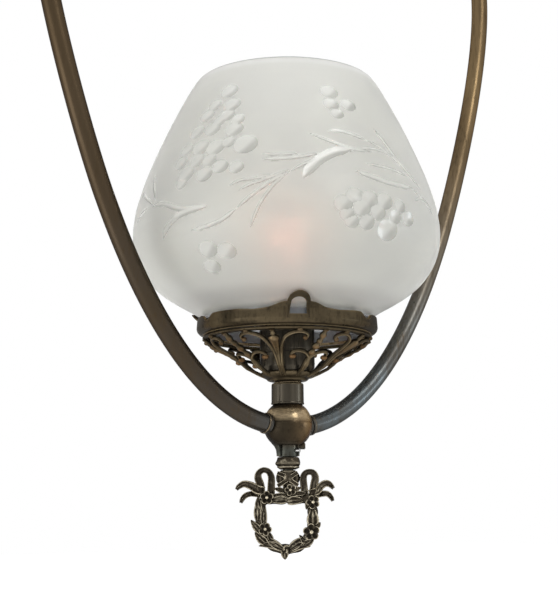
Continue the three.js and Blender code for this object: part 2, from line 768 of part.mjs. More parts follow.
function galleryBasket() {
  const boreRadius = nippleRadius + boreGap;
  const boss = toSolid(lathe([
    [boreRadius, basketLowZ],
    [0.2 * rimOuter, basketLowZ],
    [0.235 * rimOuter, basketLowZ + 0.18 * bossHeight],
    [bossRadius, basketZ(bossRadius) - basketThickness / 2],
    [bossRadius, basketZ(bossRadius) + basketThickness / 2],
    [0.3 * rimOuter, bossTopZ],
    [boreRadius, bossTopZ],
    [boreRadius, basketLowZ],
  ], 16));
  const rim = toSolid(pipe(rimInner, rimOuter, rimLowZ, rimTopZ, 30));
  const strokes = [];
  for (let cell = 0; cell < cells; cell += 1) {
    const vase = firstVaseAngle + cell * cellAngle;
    const chain = vase + cellAngle / 2;
    strokes.push(basketStroke(vaseShares, vase, 1), basketStroke(chainShares, chain, 1));
    for (const side of [-1, 1]) {
      strokes.push(basketStroke(scrollShares, vase, side), basketStroke(spiralShares, chain, side));
    }
  }
  return toGeometry(join([boss, rim, ...strokes]));
}

piece(pendant, 'gallery_basket', galleryBasket(), finishes.castBronze);

// Gallery band: an upright cup wall on the basket's rim, its top edge waved, with three open loops
const bandLowZ = rimTopZ + seatGap;
const ledgeHeight = 1.6;
const bandTopZ = bandLowZ + bandHeight;
const bandInner = galleryRadius - galleryWall;
const ledgeInner = rimInner + 0.8;
const loopCount = 3;
const loopHalfWidth = 6.6;
const loopRise = 5.6;
const loopLeanShare = 4.62;
const loopLean = (loopLeanShare * (shadeRadius - fitterRadius)) / shadeHeight;
const loopProud = 0.3;
const loopSpringZ = bandTopZ + loopHeight - loopRise;
const windowHalfWidth = 5.2;
const windowTopHalfWidth = 4.3;
const windowRise = 2.7;
const windowLowZ = bandLowZ + 0.6 * bandHeight;
const shoulderRise = 2.8;

// Height of the band's top edge over its mean top, by angle from the nearest loop in degrees.
const edgeWave = [
  [0, 1], [8.6, 1], [13, 0.6], [18, 0], [27, -0.3], [39, 0.08], [50, 0.06], [56, -0.16], [60, -0.7],
];

function edgeRise(angle) {
  const period = 360 / loopCount;
  const away = Math.abs(((((angle / degree) % period) + 1.5 * period) % period) - period / 2);
  const next = edgeWave.findIndex(([a]) => a >= away - 1e-6);
  const i = Math.max(next - 1, 0);
  const [a0, h0] = edgeWave[i];
  const [a1, h1] = edgeWave[i + 1];
  return shoulderRise * (h0 + ((h1 - h0) * (away - a0)) / (a1 - a0));
}

function bandAngles() {
  const angles = [];
  for (let loop = 0; loop < loopCount; loop += 1) {
    const centre = (loop * 2 * Math.PI) / loopCount;
    for (const [a] of edgeWave) {
      angles.push(centre + a * degree);
      if (a > 0 && a < 60) angles.push(centre - a * degree);
    }
  }
  return angles.map((a) => (a + 2 * Math.PI) % (2 * Math.PI)).sort((a, b) => a - b);
}

function bandSection(angle) {
  const top = bandTopZ + edgeRise(angle);
  const knee = Math.min(top, bandTopZ);
  const wall = 0.992 * galleryRadius;
  const lean = loopLean * (top - knee);
  const section = [
    [ledgeInner, bandLowZ],
    [0.915 * galleryRadius, bandLowZ],
    [0.965 * galleryRadius, bandLowZ + 0.12 * bandHeight],
    [galleryRadius, bandLowZ + 0.42 * bandHeight],
    [wall, knee],
    [wall + lean, top],
    [wall + lean - galleryWall, top],
    [wall - galleryWall, knee],
    [bandInner, bandLowZ + 0.42 * bandHeight],
    [bandInner, bandLowZ + ledgeHeight],
    [ledgeInner, bandLowZ + ledgeHeight],
  ];
  return section.map(([r, z]) => new THREE.Vector3(r * Math.cos(angle), r * Math.sin(angle), z));
}

// An arched plate for a loop or its window: it stands across a radius and leans outwards above the band,
// clear of the shade's shoulder.
function leaningArch(foot, top, low, rise, angle, from, to) {
  const shape = new THREE.Shape();
  shape.moveTo(-foot, low);
  shape.lineTo(foot, low);
  shape.lineTo(foot, bandTopZ);
  shape.absellipse(0, loopSpringZ, top, rise, 0, Math.PI);
  shape.lineTo(-foot, bandTopZ);
  shape.closePath();
  const geometry = new THREE.ExtrudeGeometry(shape, { depth: to - from, bevelEnabled: false, curveSegments: 6 });
  const position = geometry.getAttribute('position');
  for (let i = 0; i < position.count; i += 1) {
    const z = position.getY(i);
    const r = from + position.getZ(i) + loopLean * Math.max(z - bandTopZ, 0);
    const across = new THREE.Vector3(r, position.getX(i), z).applyAxisAngle(new THREE.Vector3(0, 0, 1), angle);
    position.setXYZ(i, across.x, across.y, across.z);
  }
  return toSolid(geometry);
}

function galleryBand() {
  const wall = toSolid(loft(bandAngles().map(bandSection), true));
  const outer = 0.992 * galleryRadius;
  const inner = outer - galleryWall;
  const angles = Array.from({ length: loopCount }, (_, i) => (i * 2 * Math.PI) / loopCount);
  const loops = angles.map((angle) =>
    leaningArch(loopHalfWidth, loopHalfWidth, bandTopZ - ledgeHeight, loopRise, angle, inner + loopProud,
      outer + loopProud));
  const windows = angles.map((angle) => leaningArch(windowHalfWidth, windowTopHalfWidth, windowLowZ, windowRise,
    angle, inner - 3 * overrun, outer + overrun));
  return toGeometry(cutBy(join([wall, ...loops]), windows));
}

piece(pendant, 'gallery_band', galleryBand(), finishes.castBronze);

// Glass shade. Outer radii as shares of the way from its neck to its greatest radius, heights as shares of
// its height.
const shadeLowZ = bandLowZ + ledgeHeight + seatGap;
const fitterHeight = 9.2;
const shadeOuterShares = [
  [0.1235, 0.083], [0.3525, 0.116], [0.5375, 0.146], [0.703, 0.182], [0.8415, 0.23], [0.949, 0.293],
  [1, 0.373], [0.967, 0.461], [0.855, 0.563], [0.694, 0.68], [0.474, 0.812], [0.148, 0.979],
];

// A line of profile points moved square to itself, towards the axis where it rises.
function offsetInwards(points, distance) {
  const normal = ([r0, z0], [r1, z1]) => new THREE.Vector2(z0 - z1, r1 - r0).normalize();
  return points.map((point, i) => {
    const before = normal(points[Math.max(i - 1, 0)], points[Math.max(i, 1)]);
    const after = normal(points[Math.min(i, points.length - 2)], points[Math.min(i + 1, points.length - 1)]);
    const mitre = before.clone().add(after).normalize();
    const reach = distance / mitre.dot(before);
    return [point[0] + mitre.x * reach, point[1] + mitre.y * reach];
  });
}

function glassShade() {
  const fitter = fitterRadius - seatGap;
  const topZ = shadeLowZ + shadeHeight;
  const lip = shadeMouth / 2;
  const wall = [
    [fitter, shadeLowZ],
    [fitter, shadeLowZ + fitterHeight],
    ...shadeOuterShares.map(([r, z]) => [fitter + r * (shadeRadius - fitter), shadeLowZ + z * shadeHeight]),
  ];
  return lathe([
    ...wall,
    [lip + 0.4 * glassWall, topZ - 0.35 * glassWall],
    [lip, topZ],
    [lip - 0.6 * glassWall, topZ],
    ...offsetInwards(wall, glassWall).reverse(),
    [fitter, shadeLowZ],
  ], 32);
}

piece(pendant, 'glass_shade', glassShade(), finishes.frostedGlass);

// Lampholder: a cup clamped on the nipple, a shell, and the insulated contacts inside
const holderWall = 0.7;
const cupHeight = 11.4;
const shellLowZ = holderLowZ + cupHeight + seatGap;
const shellTopZ = holderLowZ + holderHeight;
const holderInner = holderRadius - holderWall;
const nipplePass = nippleRadius + boreGap;

const holderCup = lathe([
  [nipplePass, holderLowZ],
  [0.9 * holderRadius, holderLowZ],
  [holderRadius, holderLowZ + 0.28 * cupHeight],
  [holderRadius, holderLowZ + cupHeight],
  [holderInner, holderLowZ + cupHeight],
  [holderInner, holderLowZ + 0.3 * cupHeight],
  [0.86 * holderRadius, holderLowZ + cupFloor],
  [nipplePass, holderLowZ + cupFloor],
  [nipplePass, holderLowZ],
], 20);
piece(pendant, 'holder_cup', holderCup, finishes.castBronze);

const lockNut = toGeometry(toSolid(hexagon(1.33 * nippleDiameter, nutLowZ, nutLowZ + nutHeight))
  .subtract(toSolid(rod(nipplePass, nutLowZ - overrun, nutLowZ + nutHeight + overrun, 20))));
piece(pendant, 'nipple_locknut', lockNut, finishes.brass);

const shellRoll = 0.5;
const holderShell = lathe([
  [holderInner, shellLowZ],
  [holderRadius, shellLowZ],
  [holderRadius, shellTopZ - 2 * shellRoll],
  [holderRadius + shellRoll, shellTopZ - shellRoll],
  [holderRadius, shellTopZ],
  [holderInner, shellTopZ],
  [holderInner, shellLowZ],
], 20);
piece(pendant, 'holder_shell', holderShell, finishes.castBronze);

const linerWall = 0.6;
const linerOuter = holderInner - seatGap;
const linerInner = linerOuter - linerWall;
const insulatorHeight = 7;
const insulatorLowZ = nippleTopZ + 2.1 * leadDiameter;
const insulatorTopZ = insulatorLowZ + insulatorHeight;
const linerTopZ = shellTopZ - seatGap;
piece(pendant, 'insulating_liner', pipe(linerInner, linerOuter, insulatorLowZ, linerTopZ, 20), finishes.fibre);

// The porcelain base stands on the cup by a foot ring and holds the two contacts.
const terminalRadius = 1.6;
const terminalOffset = 0.56 * linerInner;
const contactStem = 1.1;
const leadHole = leadRadius + 2 * boreGap;
const baseRadius = linerInner - seatGap;
const neutralEnd = new THREE.Vector3(-terminalOffset, leadSpacing / 2, insulatorLowZ - seatGap);

function porcelainBase() {
  const footOuter = baseRadius;
  const footInner = 0.93 * baseRadius;
  const footLowZ = holderLowZ + cupFloor + seatGap + 0.16 * cupHeight;
  const body = toSolid(lathe([
    [footInner, footLowZ],
    [footOuter, footLowZ],
    [footOuter, insulatorTopZ],
    [0, insulatorTopZ],
    [0, insulatorLowZ],
    [footInner, insulatorLowZ],
    [footInner, footLowZ],
  ], 24));
  const through = (radius, x, y = 0) =>
    toSolid(rod(radius, insulatorLowZ - overrun, insulatorTopZ + overrun, 12).translate(x, y, 0));
  return toGeometry(cutBy(body, [
    through(contactStem + boreGap, 0),
    through(terminalRadius + boreGap, -terminalOffset, leadSpacing / 2),
  ]));
}

piece(pendant, 'porcelain_base', porcelainBase(), finishes.porcelain);

const socketWall = 0.5;
const socketGap = 0.3;
const socketInner = capDiameter / 2 + socketGap;
const socketLowZ = insulatorTopZ + seatGap;
const socketTopZ = shellTopZ - 2.4;
const socketFloor = 0.6;
const screwSocket = lathe([
  [0.46 * socketInner, socketLowZ],
  [socketInner + socketWall, socketLowZ],
  [socketInner + socketWall, socketTopZ],
  [socketInner, socketTopZ],
  [socketInner, socketLowZ + socketFloor],
  [0.46 * socketInner, socketLowZ + socketFloor],
  [0.46 * socketInner, socketLowZ],
], 20);
piece(pendant, 'screw_socket', screwSocket, finishes.brass);

const contactHeadRadius = 3.4;
const contactHead = 1.2;
const contactLowZ = insulatorLowZ + seatGap;
const contactTopZ = socketLowZ + contactHead;
const centreContact = lathe([
  [0, contactLowZ],
  [contactStem, contactLowZ],
  [contactStem, socketLowZ],
  [contactHeadRadius, socketLowZ],
  [contactHeadRadius, contactTopZ],
  [0, contactTopZ],
], 16);
piece(pendant, 'centre_contact', centreContact, finishes.brass);

const neutralTerminal = rod(terminalRadius, insulatorLowZ + seatGap, insulatorTopZ, 12)
  .translate(-terminalOffset, leadSpacing / 2, 0);
piece(pendant, 'neutral_terminal', neutralTerminal, finishes.brass);

// Bulb: it turns in the screw socket and climbs one pitch a turn
const capRadius = capDiameter / 2;
const capWall = 0.4;
const bulbSeatZ = contactTopZ + seatGap;
const tipHeight = 1.1;
const tipRadius = 4.2;
const capLowZ = bulbSeatZ + 1.7;
const capHeight = 24;
const capTopZ = capLowZ + capHeight;
const bulbTopZ = bulbSeatZ + bulbLength;
const neckOuter = capRadius - capWall - boreGap;
const bulbRadius = bulbDiameter / 2;
const bulbCentreZ = bulbTopZ - bulbRadius;
const bulbWall = 0.8;
const neckLowZ = capTopZ - 7;

piece(pendant, 'bulb_contact', rod(tipRadius, bulbSeatZ, bulbSeatZ + tipHeight, 16), finishes.steel);

const bulbCap = lathe([
  [1.15 * tipRadius, capLowZ],
  [0.72 * capRadius, capLowZ],
  [capRadius, capLowZ + 0.1 * capHeight],
  [capRadius, capTopZ],
  [capRadius - capWall, capTopZ],
  [capRadius - capWall, capLowZ + 0.12 * capHeight],
  [0.7 * capRadius, capLowZ + capWall],
  [1.15 * tipRadius, capLowZ + capWall],
  [1.15 * tipRadius, capLowZ],
], 20);
piece(pendant, 'bulb_cap', bulbCap, finishes.steel);

// Black glass button between the cap and the contact
const buttonLowZ = bulbSeatZ + tipHeight + seatGap;
const capButton = lathe([
  [0, buttonLowZ],
  [1.15 * tipRadius - boreGap, buttonLowZ],
  [1.15 * tipRadius - boreGap, capLowZ + capWall + seatGap],
  [1.5 * tipRadius, capLowZ + capWall + seatGap],
  [1.5 * tipRadius, capLowZ + capWall + 2 * tipHeight],
  [0, capLowZ + capWall + 2 * tipHeight],
], 16);
piece(pendant, 'cap_button', capButton, finishes.fibre);

const shoulderZ = capTopZ + 0.34 * (bulbCentreZ - capTopZ);
const bulbOuter = [
  [neckOuter, neckLowZ],
  [neckOuter, capTopZ + bulbWall],
  [1.16 * neckOuter, shoulderZ],
  [0.72 * bulbRadius, bulbCentreZ - 0.82 * bulbRadius],
  ...arc(0, bulbCentreZ, bulbRadius, -40 * degree, 90 * degree, 7),
];
const bulbInner = [
  ...arc(0, bulbCentreZ, bulbRadius - bulbWall, 90 * degree, -40 * degree, 6),
  [0.72 * bulbRadius - bulbWall, bulbCentreZ - 0.82 * bulbRadius],
  [1.16 * neckOuter - bulbWall, shoulderZ],
  [neckOuter - bulbWall, capTopZ + bulbWall],
  [neckOuter - bulbWall, neckLowZ],
  [neckOuter, neckLowZ],
];
piece(pendant, 'bulb_glass', lathe([...bulbOuter, ...bulbInner], 18), finishes.bulbGlass);

// Glass mount with its support wires and the filament
const mountRadius = 0.24 * neckOuter;
const mountTopZ = capTopZ + 0.5 * (bulbCentreZ - capTopZ);
const mountFlare = neckOuter - bulbWall - boreGap;
const wireRadius = 0.4;
const filamentHalf = 8;
const filamentMount = join([
  toSolid(lathe([
    [0, neckLowZ + bulbWall],
    [mountFlare, neckLowZ + bulbWall],
    [mountFlare, neckLowZ + 2 * bulbWall],
    [mountRadius, capTopZ - bulbWall],
    [mountRadius, mountTopZ],
    [0, mountTopZ],
  ], 16)),
  ...[-1, 1].map((side) => {
    const foot = new THREE.Vector3(side * mountRadius / 2, 0, mountTopZ - overrun);
    const reach = new THREE.Vector3(side * filamentHalf, 0, bulbCentreZ).sub(foot);
    return toSolid(along(rod(wireRadius, 0, reach.length(), 6), reach, foot));
  }),
  toSolid(along(
    rod(1.5 * wireRadius, -filamentHalf, filamentHalf, 6),
    new THREE.Vector3(1, 0, 0),
    new THREE.Vector3(0, 0, bulbCentreZ),
  )),
]);
piece(pendant, 'filament_mount', toGeometry(filamentMount), finishes.filament);

// Ceiling end, in the light's own frame: a flat plate with a screwed boss that takes the swivel's neck
const plateRadius = plateDiameter / 2;
const plateBossRadius = 0.25 * plateRadius;
const plateLowZ = -plateThickness;
const bossLowZ = -plateBossDrop;
const plateScrewRadius = 2.6;
const plateScrewShare = 0.79;
const supplyHoleRadius = 7;
const supplyHoleShare = 0.54;
const neckPass = neckRadius + boreGap;
const neckTopZ = plateLowZ - 1.3;

function ceilingPlate() {
  const body = toSolid(lathe([
    [0, 0],
    [plateRadius, 0],
    [plateRadius, plateLowZ],
    [plateBossRadius, plateLowZ],
    [plateBossRadius, bossLowZ],
    [neckPass, bossLowZ],
    [neckPass, neckTopZ + seatGap],
    [0, neckTopZ + seatGap],
  ], 28));
  const hole = (radius, x, y) =>
    toSolid(rod(radius, plateLowZ - overrun, overrun, 12).translate(x, y, 0));
  const screwX = plateScrewShare * plateRadius;
  return toGeometry(cutBy(body, [
    hole(plateScrewRadius, screwX, 0),
    hole(plateScrewRadius, -screwX, 0),
    hole(supplyHoleRadius, 0, -supplyHoleShare * plateRadius),
  ]));
}

piece(light, 'ceiling_plate', ceilingPlate(), finishes.steel);

const locknutHeight = 4;
const locknutFlats = 1.46 * neckDiameter;
const locknutTopZ = bossLowZ - seatGap;
const locknutLowZ = locknutTopZ - locknutHeight;
const neckLocknut = toGeometry(toSolid(hexagon(locknutFlats, locknutLowZ, locknutTopZ))
  .subtract(toSolid(rod(neckPass, locknutLowZ - overrun, locknutTopZ + overrun, 20))));
piece(light, 'neck_locknut', neckLocknut, finishes.steel);

// Swivel: a neck with a barrel head, and a yoke that swings on two pivot screws
const headRadius = 1.15 * neckRadius;
const headReach = 8;
const pivotZ = -pivotDepth;
const headTopZ = pivotZ + headReach;
const headLowHeadZ = pivotZ - headReach;
const neckInner = neckBore / 2;
const pivotRadius = 2;
const pivotPass = pivotRadius + boreGap;
const leadPassRadius = 3.2;
const leadPassZ = locknutLowZ - 1.6 * leadPassRadius;
const xAxis = new THREE.Vector3(1, 0, 0);
const pivotPoint = new THREE.Vector3(0, 0, pivotZ);

function swivelNeck() {
  const flareInner = headRadius - 0.9;
  const body = toSolid(lathe([
    [neckInner, pivotZ + pivotPass],
    [flareInner, headLowHeadZ],
    [headRadius, headLowHeadZ],
    [headRadius, headTopZ],
    [neckRadius, headTopZ],
    [neckRadius, neckTopZ],
    [neckInner, neckTopZ],
    [neckInner, pivotZ + pivotPass],
  ], 20));
  const reach = headRadius + overrun;
  const cross = toSolid(along(rod(pivotPass, -reach, reach, 10), xAxis, pivotPoint));
  const side = toSolid(along(rod(leadPassRadius, 0, reach, 10), xAxis, new THREE.Vector3(0, 0, leadPassZ)));
  return toGeometry(body.subtract(cross).subtract(side));
}

piece(light, 'swivel_neck', swivelNeck(), finishes.ballBronze);

const earGap = 0.5;
const earThickness = 2.6;
const earInner = headRadius + earGap;
const earOuter = earInner + earThickness;
const earTop = 6.6;
const earHalfWidth = 6;
const yokeClear = 3.8;
const yokeBaseTopZ = headLowHeadZ - yokeClear;
const yokeBase = 5;
const socketLength = 10;
const stemTopZ = yokeBaseTopZ - yokeBase;
const stemSocketRadius = stemRadius + boreGap + 2;

function swivelYoke() {
  const base = toSolid(lathe([
    [neckInner, yokeBaseTopZ],
    [neckInner, stemTopZ + seatGap],
    [stemRadius + boreGap, stemTopZ + seatGap],
    [stemRadius + boreGap, stemTopZ - socketLength],
    [stemSocketRadius, stemTopZ - socketLength],
    [stemSocketRadius, stemTopZ],
    [earOuter, yokeBaseTopZ - 0.6 * yokeBase],
    [earOuter, yokeBaseTopZ],
    [neckInner, yokeBaseTopZ],
  ], 20));
  const round = toSolid(rod(earOuter, yokeBaseTopZ - overrun, pivotZ + earTop, 20));
  const slab = toSolid(block(-earOuter, earOuter, -earHalfWidth, earHalfWidth, yokeBaseTopZ - overrun,
    pivotZ + earTop));
  const slot = toSolid(block(-earInner, earInner, -earOuter, earOuter, yokeBaseTopZ, pivotZ + earTop + overrun));
  const under = toSolid(rod(neckInner, yokeBaseTopZ - 2 * overrun, yokeBaseTopZ + overrun, 20));
  const ears = round.intersect(slab).subtract(slot).subtract(under);
  const reach = earOuter + overrun;
  const bore = toSolid(along(rod(pivotPass, -reach, reach, 10), xAxis, pivotPoint));
  return toGeometry(base.add(ears).subtract(bore));
}

piece(light, 'swivel_yoke', swivelYoke(), finishes.ballBronze);

const pivotHead = 2;
const pivotHeadRadius = 3.3;
const pivotInner = neckInner + 0.4;
const pivotHeadStart = earOuter + seatGap;
const pivotScrew = along(lathe([
  [0, pivotInner],
  [pivotRadius, pivotInner],
  [pivotRadius, pivotHeadStart],
  [pivotHeadRadius, pivotHeadStart],
  [pivotHeadRadius, pivotHeadStart + pivotHead],
  [0, pivotHeadStart + pivotHead],
], 16), xAxis, pivotPoint);
piece(light, 'pivot_screw_right', pivotScrew, finishes.brass);
piece(light, 'pivot_screw_left', mirrored(pivotScrew), finishes.brass);

// Stem from the yoke down into the upper ball
const stemLowZ = topBallZ + Math.sqrt(cavityRadius ** 2 - stemRadius ** 2);
piece(light, 'stem_tube', pipe(stemRadius - stemWall, stemRadius, stemLowZ, stemTopZ, 20), finishes.tubeBronze);

const stemRingLowZ = topBallZ + Math.sqrt(ballRadius ** 2 - (stemRadius + boreGap) ** 2) + seatGap;
const stemRing = pipe(stemRadius + boreGap, 1.16 * stemRadius + boreGap, stemRingLowZ, stemRingLowZ + 1.6, 20);
piece(light, 'stem_ring', stemRing, finishes.ballBronze);

// Ceiling canopy with its slip ring and set screw, which slide down the neck together
const canopyRadius = canopyDiameter / 2;
const canopyTopZ = -0.6;
const canopyPass = neckRadius + 0.4;
const canopyShares = [
  [1, 0], [1, 0.07], [0.94, 0.21], [0.8, 0.4], [0.6, 0.6], [0.37, 0.78], [0.23, 0.88], [0.17, 1],
];

function ceilingCanopy() {
  const outer = canopyShares.map(([r, z]) => [r * canopyRadius, canopyTopZ - z * canopyDepth]);
  const inner = canopyShares.slice(0, -1)
    .map(([r, z]) => [r * canopyRadius - canopyWall, canopyTopZ - z * canopyDepth + (z > 0.2 ? canopyWall : 0)])
    .reverse();
  const lowZ = canopyTopZ - canopyDepth;
  return lathe([...outer, [canopyPass, lowZ], [canopyPass, lowZ + canopyWall], ...inner, outer[0]], 28);
}

piece(light, 'ceiling_canopy', ceilingCanopy(), finishes.tubeBronze);

const ringTopZ = canopyTopZ - canopyDepth - seatGap;
const ringHeight = 8;
const ringRadius = 1.62 * neckRadius;
const setScrewRadius = 1.5;
const setScrewZ = ringTopZ - ringHeight / 2;

function canopyRing() {
  const inner = canopyPass;
  const body = toSolid(lathe([
    [inner, ringTopZ - ringHeight],
    [0.84 * ringRadius, ringTopZ - ringHeight],
    [0.97 * ringRadius, ringTopZ - 0.75 * ringHeight],
    [ringRadius, ringTopZ - 0.5 * ringHeight],
    [0.97 * ringRadius, ringTopZ - 0.2 * ringHeight],
    [0.9 * ringRadius, ringTopZ],
    [inner, ringTopZ],
    [inner, ringTopZ - ringHeight],
  ], 20));
  const hole = along(rod(setScrewRadius + boreGap, 0, ringRadius + overrun, 12), yAxis,
    new THREE.Vector3(0, 0, setScrewZ));
  return toGeometry(body.subtract(toSolid(hole)));
}

piece(light, 'canopy_ring', canopyRing(), finishes.ballBronze);

const setScrew = along(rod(setScrewRadius, neckRadius + seatGap, ringRadius + 2.4, 12), yAxis,
  new THREE.Vector3(0, 0, setScrewZ));
piece(light, 'canopy_set_screw', setScrew, finishes.brass);

// Terminal block under the plate, and the leads
const blockLowX = 0.54 * plateRadius;
const blockWidth = 10;
const blockHalfDepth = 8;
const blockTopZ = plateLowZ - seatGap;
const blockHeight = 10.7;
const blockLowZ = blockTopZ - blockHeight;
const blockHoleRadius = leadRadius + boreGap;
const leadHalfSpacing = leadSpacing / 2;
const terminalHalfSpacing = 0.46 * blockHalfDepth;
const leadEntryZ = blockTopZ - 0.45 * blockHeight;
const blockMiddleX = blockLowX + blockWidth / 2;
const terminalScrewRadius = 2.1;

function terminalBlock() {
  const body = toSolid(block(blockLowX, blockLowX + blockWidth, -blockHalfDepth, blockHalfDepth, blockLowZ,
    blockTopZ));
  const tools = [-1, 1].flatMap((side) => [
    toSolid(along(rod(blockHoleRadius, -overrun, blockWidth + overrun, 12), xAxis,
      new THREE.Vector3(blockLowX, side * terminalHalfSpacing, leadEntryZ))),
    toSolid(rod(terminalScrewRadius + boreGap, blockLowZ - overrun, leadEntryZ, 12)
      .translate(blockMiddleX, side * terminalHalfSpacing, 0)),
  ]);
  return toGeometry(cutBy(body, tools));
}

piece(light, 'terminal_block', terminalBlock(), finishes.whitePlastic);

for (const [name, side] of [['live', -1], ['neutral', 1]]) {
  const screw = rod(terminalScrewRadius, blockLowZ + seatGap, leadEntryZ - leadRadius - seatGap, 12);
  const placed = screw.translate(blockMiddleX, side * terminalHalfSpacing, 0);
  piece(light, `terminal_screw_${name}`, placed, finishes.brass);
}

// The leads end this far above and below the swivel's centre, so that they clear each other as it turns.
const leadEndGap = leadDiameter / 4;

// A lead: a round section carried along a smooth curve through its points.
function lead(points, steps) {
  return weld(new THREE.ExtrudeGeometry(new THREE.Shape(roundPoints(leadRadius, 6)), {
    steps,
    bevelEnabled: false,
    extrudePath: new THREE.CatmullRomCurve3(points, false, 'centripetal'),
  }));
}

// Ceiling leads: from the block through the neck's side hole, down to the swivel.
function ceilingLead(side) {
  const y = side * leadHalfSpacing;
  const blockY = side * terminalHalfSpacing;
  const neckSide = 1.4 * neckRadius;
  return lead([
    new THREE.Vector3(blockMiddleX, blockY, leadEntryZ),
    new THREE.Vector3(blockLowX - 2 * leadRadius, blockY, leadEntryZ),
    new THREE.Vector3((blockLowX + neckSide) / 2, blockY, (leadEntryZ + leadPassZ) / 2),
    new THREE.Vector3(neckSide, y, leadPassZ + leadRadius / 3),
    new THREE.Vector3(0.5 * neckInner, y, leadPassZ - 0.6 * leadRadius),
    new THREE.Vector3(0, y, leadPassZ - 3 * leadDiameter),
    new THREE.Vector3(0, y, (leadPassZ + pivotZ) / 2),
    new THREE.Vector3(0, y, pivotZ + leadEndGap),
  ], 16);
}

piece(light, 'ceiling_lead_live', ceilingLead(-1), finishes.lead);
piece(light, 'ceiling_lead_neutral', ceilingLead(1), finishes.neutral);

// Hoop leads: down the stem, through the upper ball, round the right arm, through the lower ball and up
// the nipple to the lampholder. Places are in the light's frame.
function hoopLead(side, end) {
  const y = side * leadHalfSpacing;
  const footZ = pendant.position.z;
  const bend = 0.72 * cavityRadius;
  const points = [
    new THREE.Vector3(0, y, pivotZ - leadEndGap),
    new THREE.Vector3(0, y, (pivotZ + topBallZ) / 2),
    new THREE.Vector3(0, y, topBallZ + bend),
    new THREE.Vector3(0.29 * bend, y, topBallZ + 0.29 * bend),
    new THREE.Vector3(bend, y, topBallZ),
  ];
  const spans = 22;
  for (let i = 0; i <= spans; i += 1) {
    const share = crownShare + ((footShare - crownShare) * i) / spans;
    const point = hoop.getPointAt(share);
    points.push(new THREE.Vector3(point.x, y, point.z + footZ));
  }
  const entry = points[points.length - 1];
  points.push(new THREE.Vector3(0.3 * entry.x, y, footZ - 0.1 * cavityRadius));
  points.push(new THREE.Vector3(0.02 * entry.x, y, footZ + 0.35 * cavityRadius));
  const exitZ = footZ + nippleTopZ;
  points.push(new THREE.Vector3(0, y, exitZ - nippleInner));
  points.push(new THREE.Vector3(0.06 * end.x, y, exitZ));
  points.push(new THREE.Vector3(0.5 * end.x, (y + end.y) / 2, exitZ + 0.85 * leadDiameter));
  points.push(new THREE.Vector3(0.92 * end.x, end.y, exitZ + leadDiameter));
  points.push(new THREE.Vector3(end.x, end.y, footZ + end.z));
  return lead(points, 50);
}

const liveEnd = new THREE.Vector3(0, 0, insulatorLowZ - seatGap);
piece(light, 'lead_live', hoopLead(-1, liveEnd), finishes.lead);
piece(light, 'lead_neutral', hoopLead(1, neutralEnd), finishes.neutral);

export default light;
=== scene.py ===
"""Hoop pendant light: the looks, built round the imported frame.

Places are in millimetres from the centre of the lower ball, +Z up, and become metres as a mesh is made.
The key, the cuts and the camera are laid out from the side that faces the camera.
"""

import math

import bpy
import numpy as np
from mathutils import Matrix

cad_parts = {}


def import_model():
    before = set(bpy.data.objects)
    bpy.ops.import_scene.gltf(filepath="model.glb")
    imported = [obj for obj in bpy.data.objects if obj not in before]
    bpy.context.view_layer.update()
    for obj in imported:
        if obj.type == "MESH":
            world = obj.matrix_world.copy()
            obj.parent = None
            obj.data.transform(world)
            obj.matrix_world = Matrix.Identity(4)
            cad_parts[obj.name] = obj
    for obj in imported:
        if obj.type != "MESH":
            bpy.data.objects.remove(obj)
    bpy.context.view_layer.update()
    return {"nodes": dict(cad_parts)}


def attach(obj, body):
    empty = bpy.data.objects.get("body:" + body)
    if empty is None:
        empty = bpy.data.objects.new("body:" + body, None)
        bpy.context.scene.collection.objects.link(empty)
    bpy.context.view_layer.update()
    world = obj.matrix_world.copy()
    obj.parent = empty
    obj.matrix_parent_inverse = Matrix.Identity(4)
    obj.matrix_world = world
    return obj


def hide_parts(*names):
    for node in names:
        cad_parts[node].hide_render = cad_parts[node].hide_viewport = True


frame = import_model()

BALL_Z = -647.2                  # the centre of the lower ball in the frame
UP_BALL = 472.0                  # the centre of the upper ball above it
BALL_R, BALL_BORE = 14.5, 12.3   # both balls, outside and inside
FACING = 233.2                   # the side that faces the camera, in degrees about Z
KEY_TURN = 36.8                  # the key's plane lies this far clockwise of the X axis
LOOPS = (0, 120, 240)            # where the band's loops stand, in degrees about Z
TAU = 2 * math.pi


# ---------------------------------------------------------------- shapes

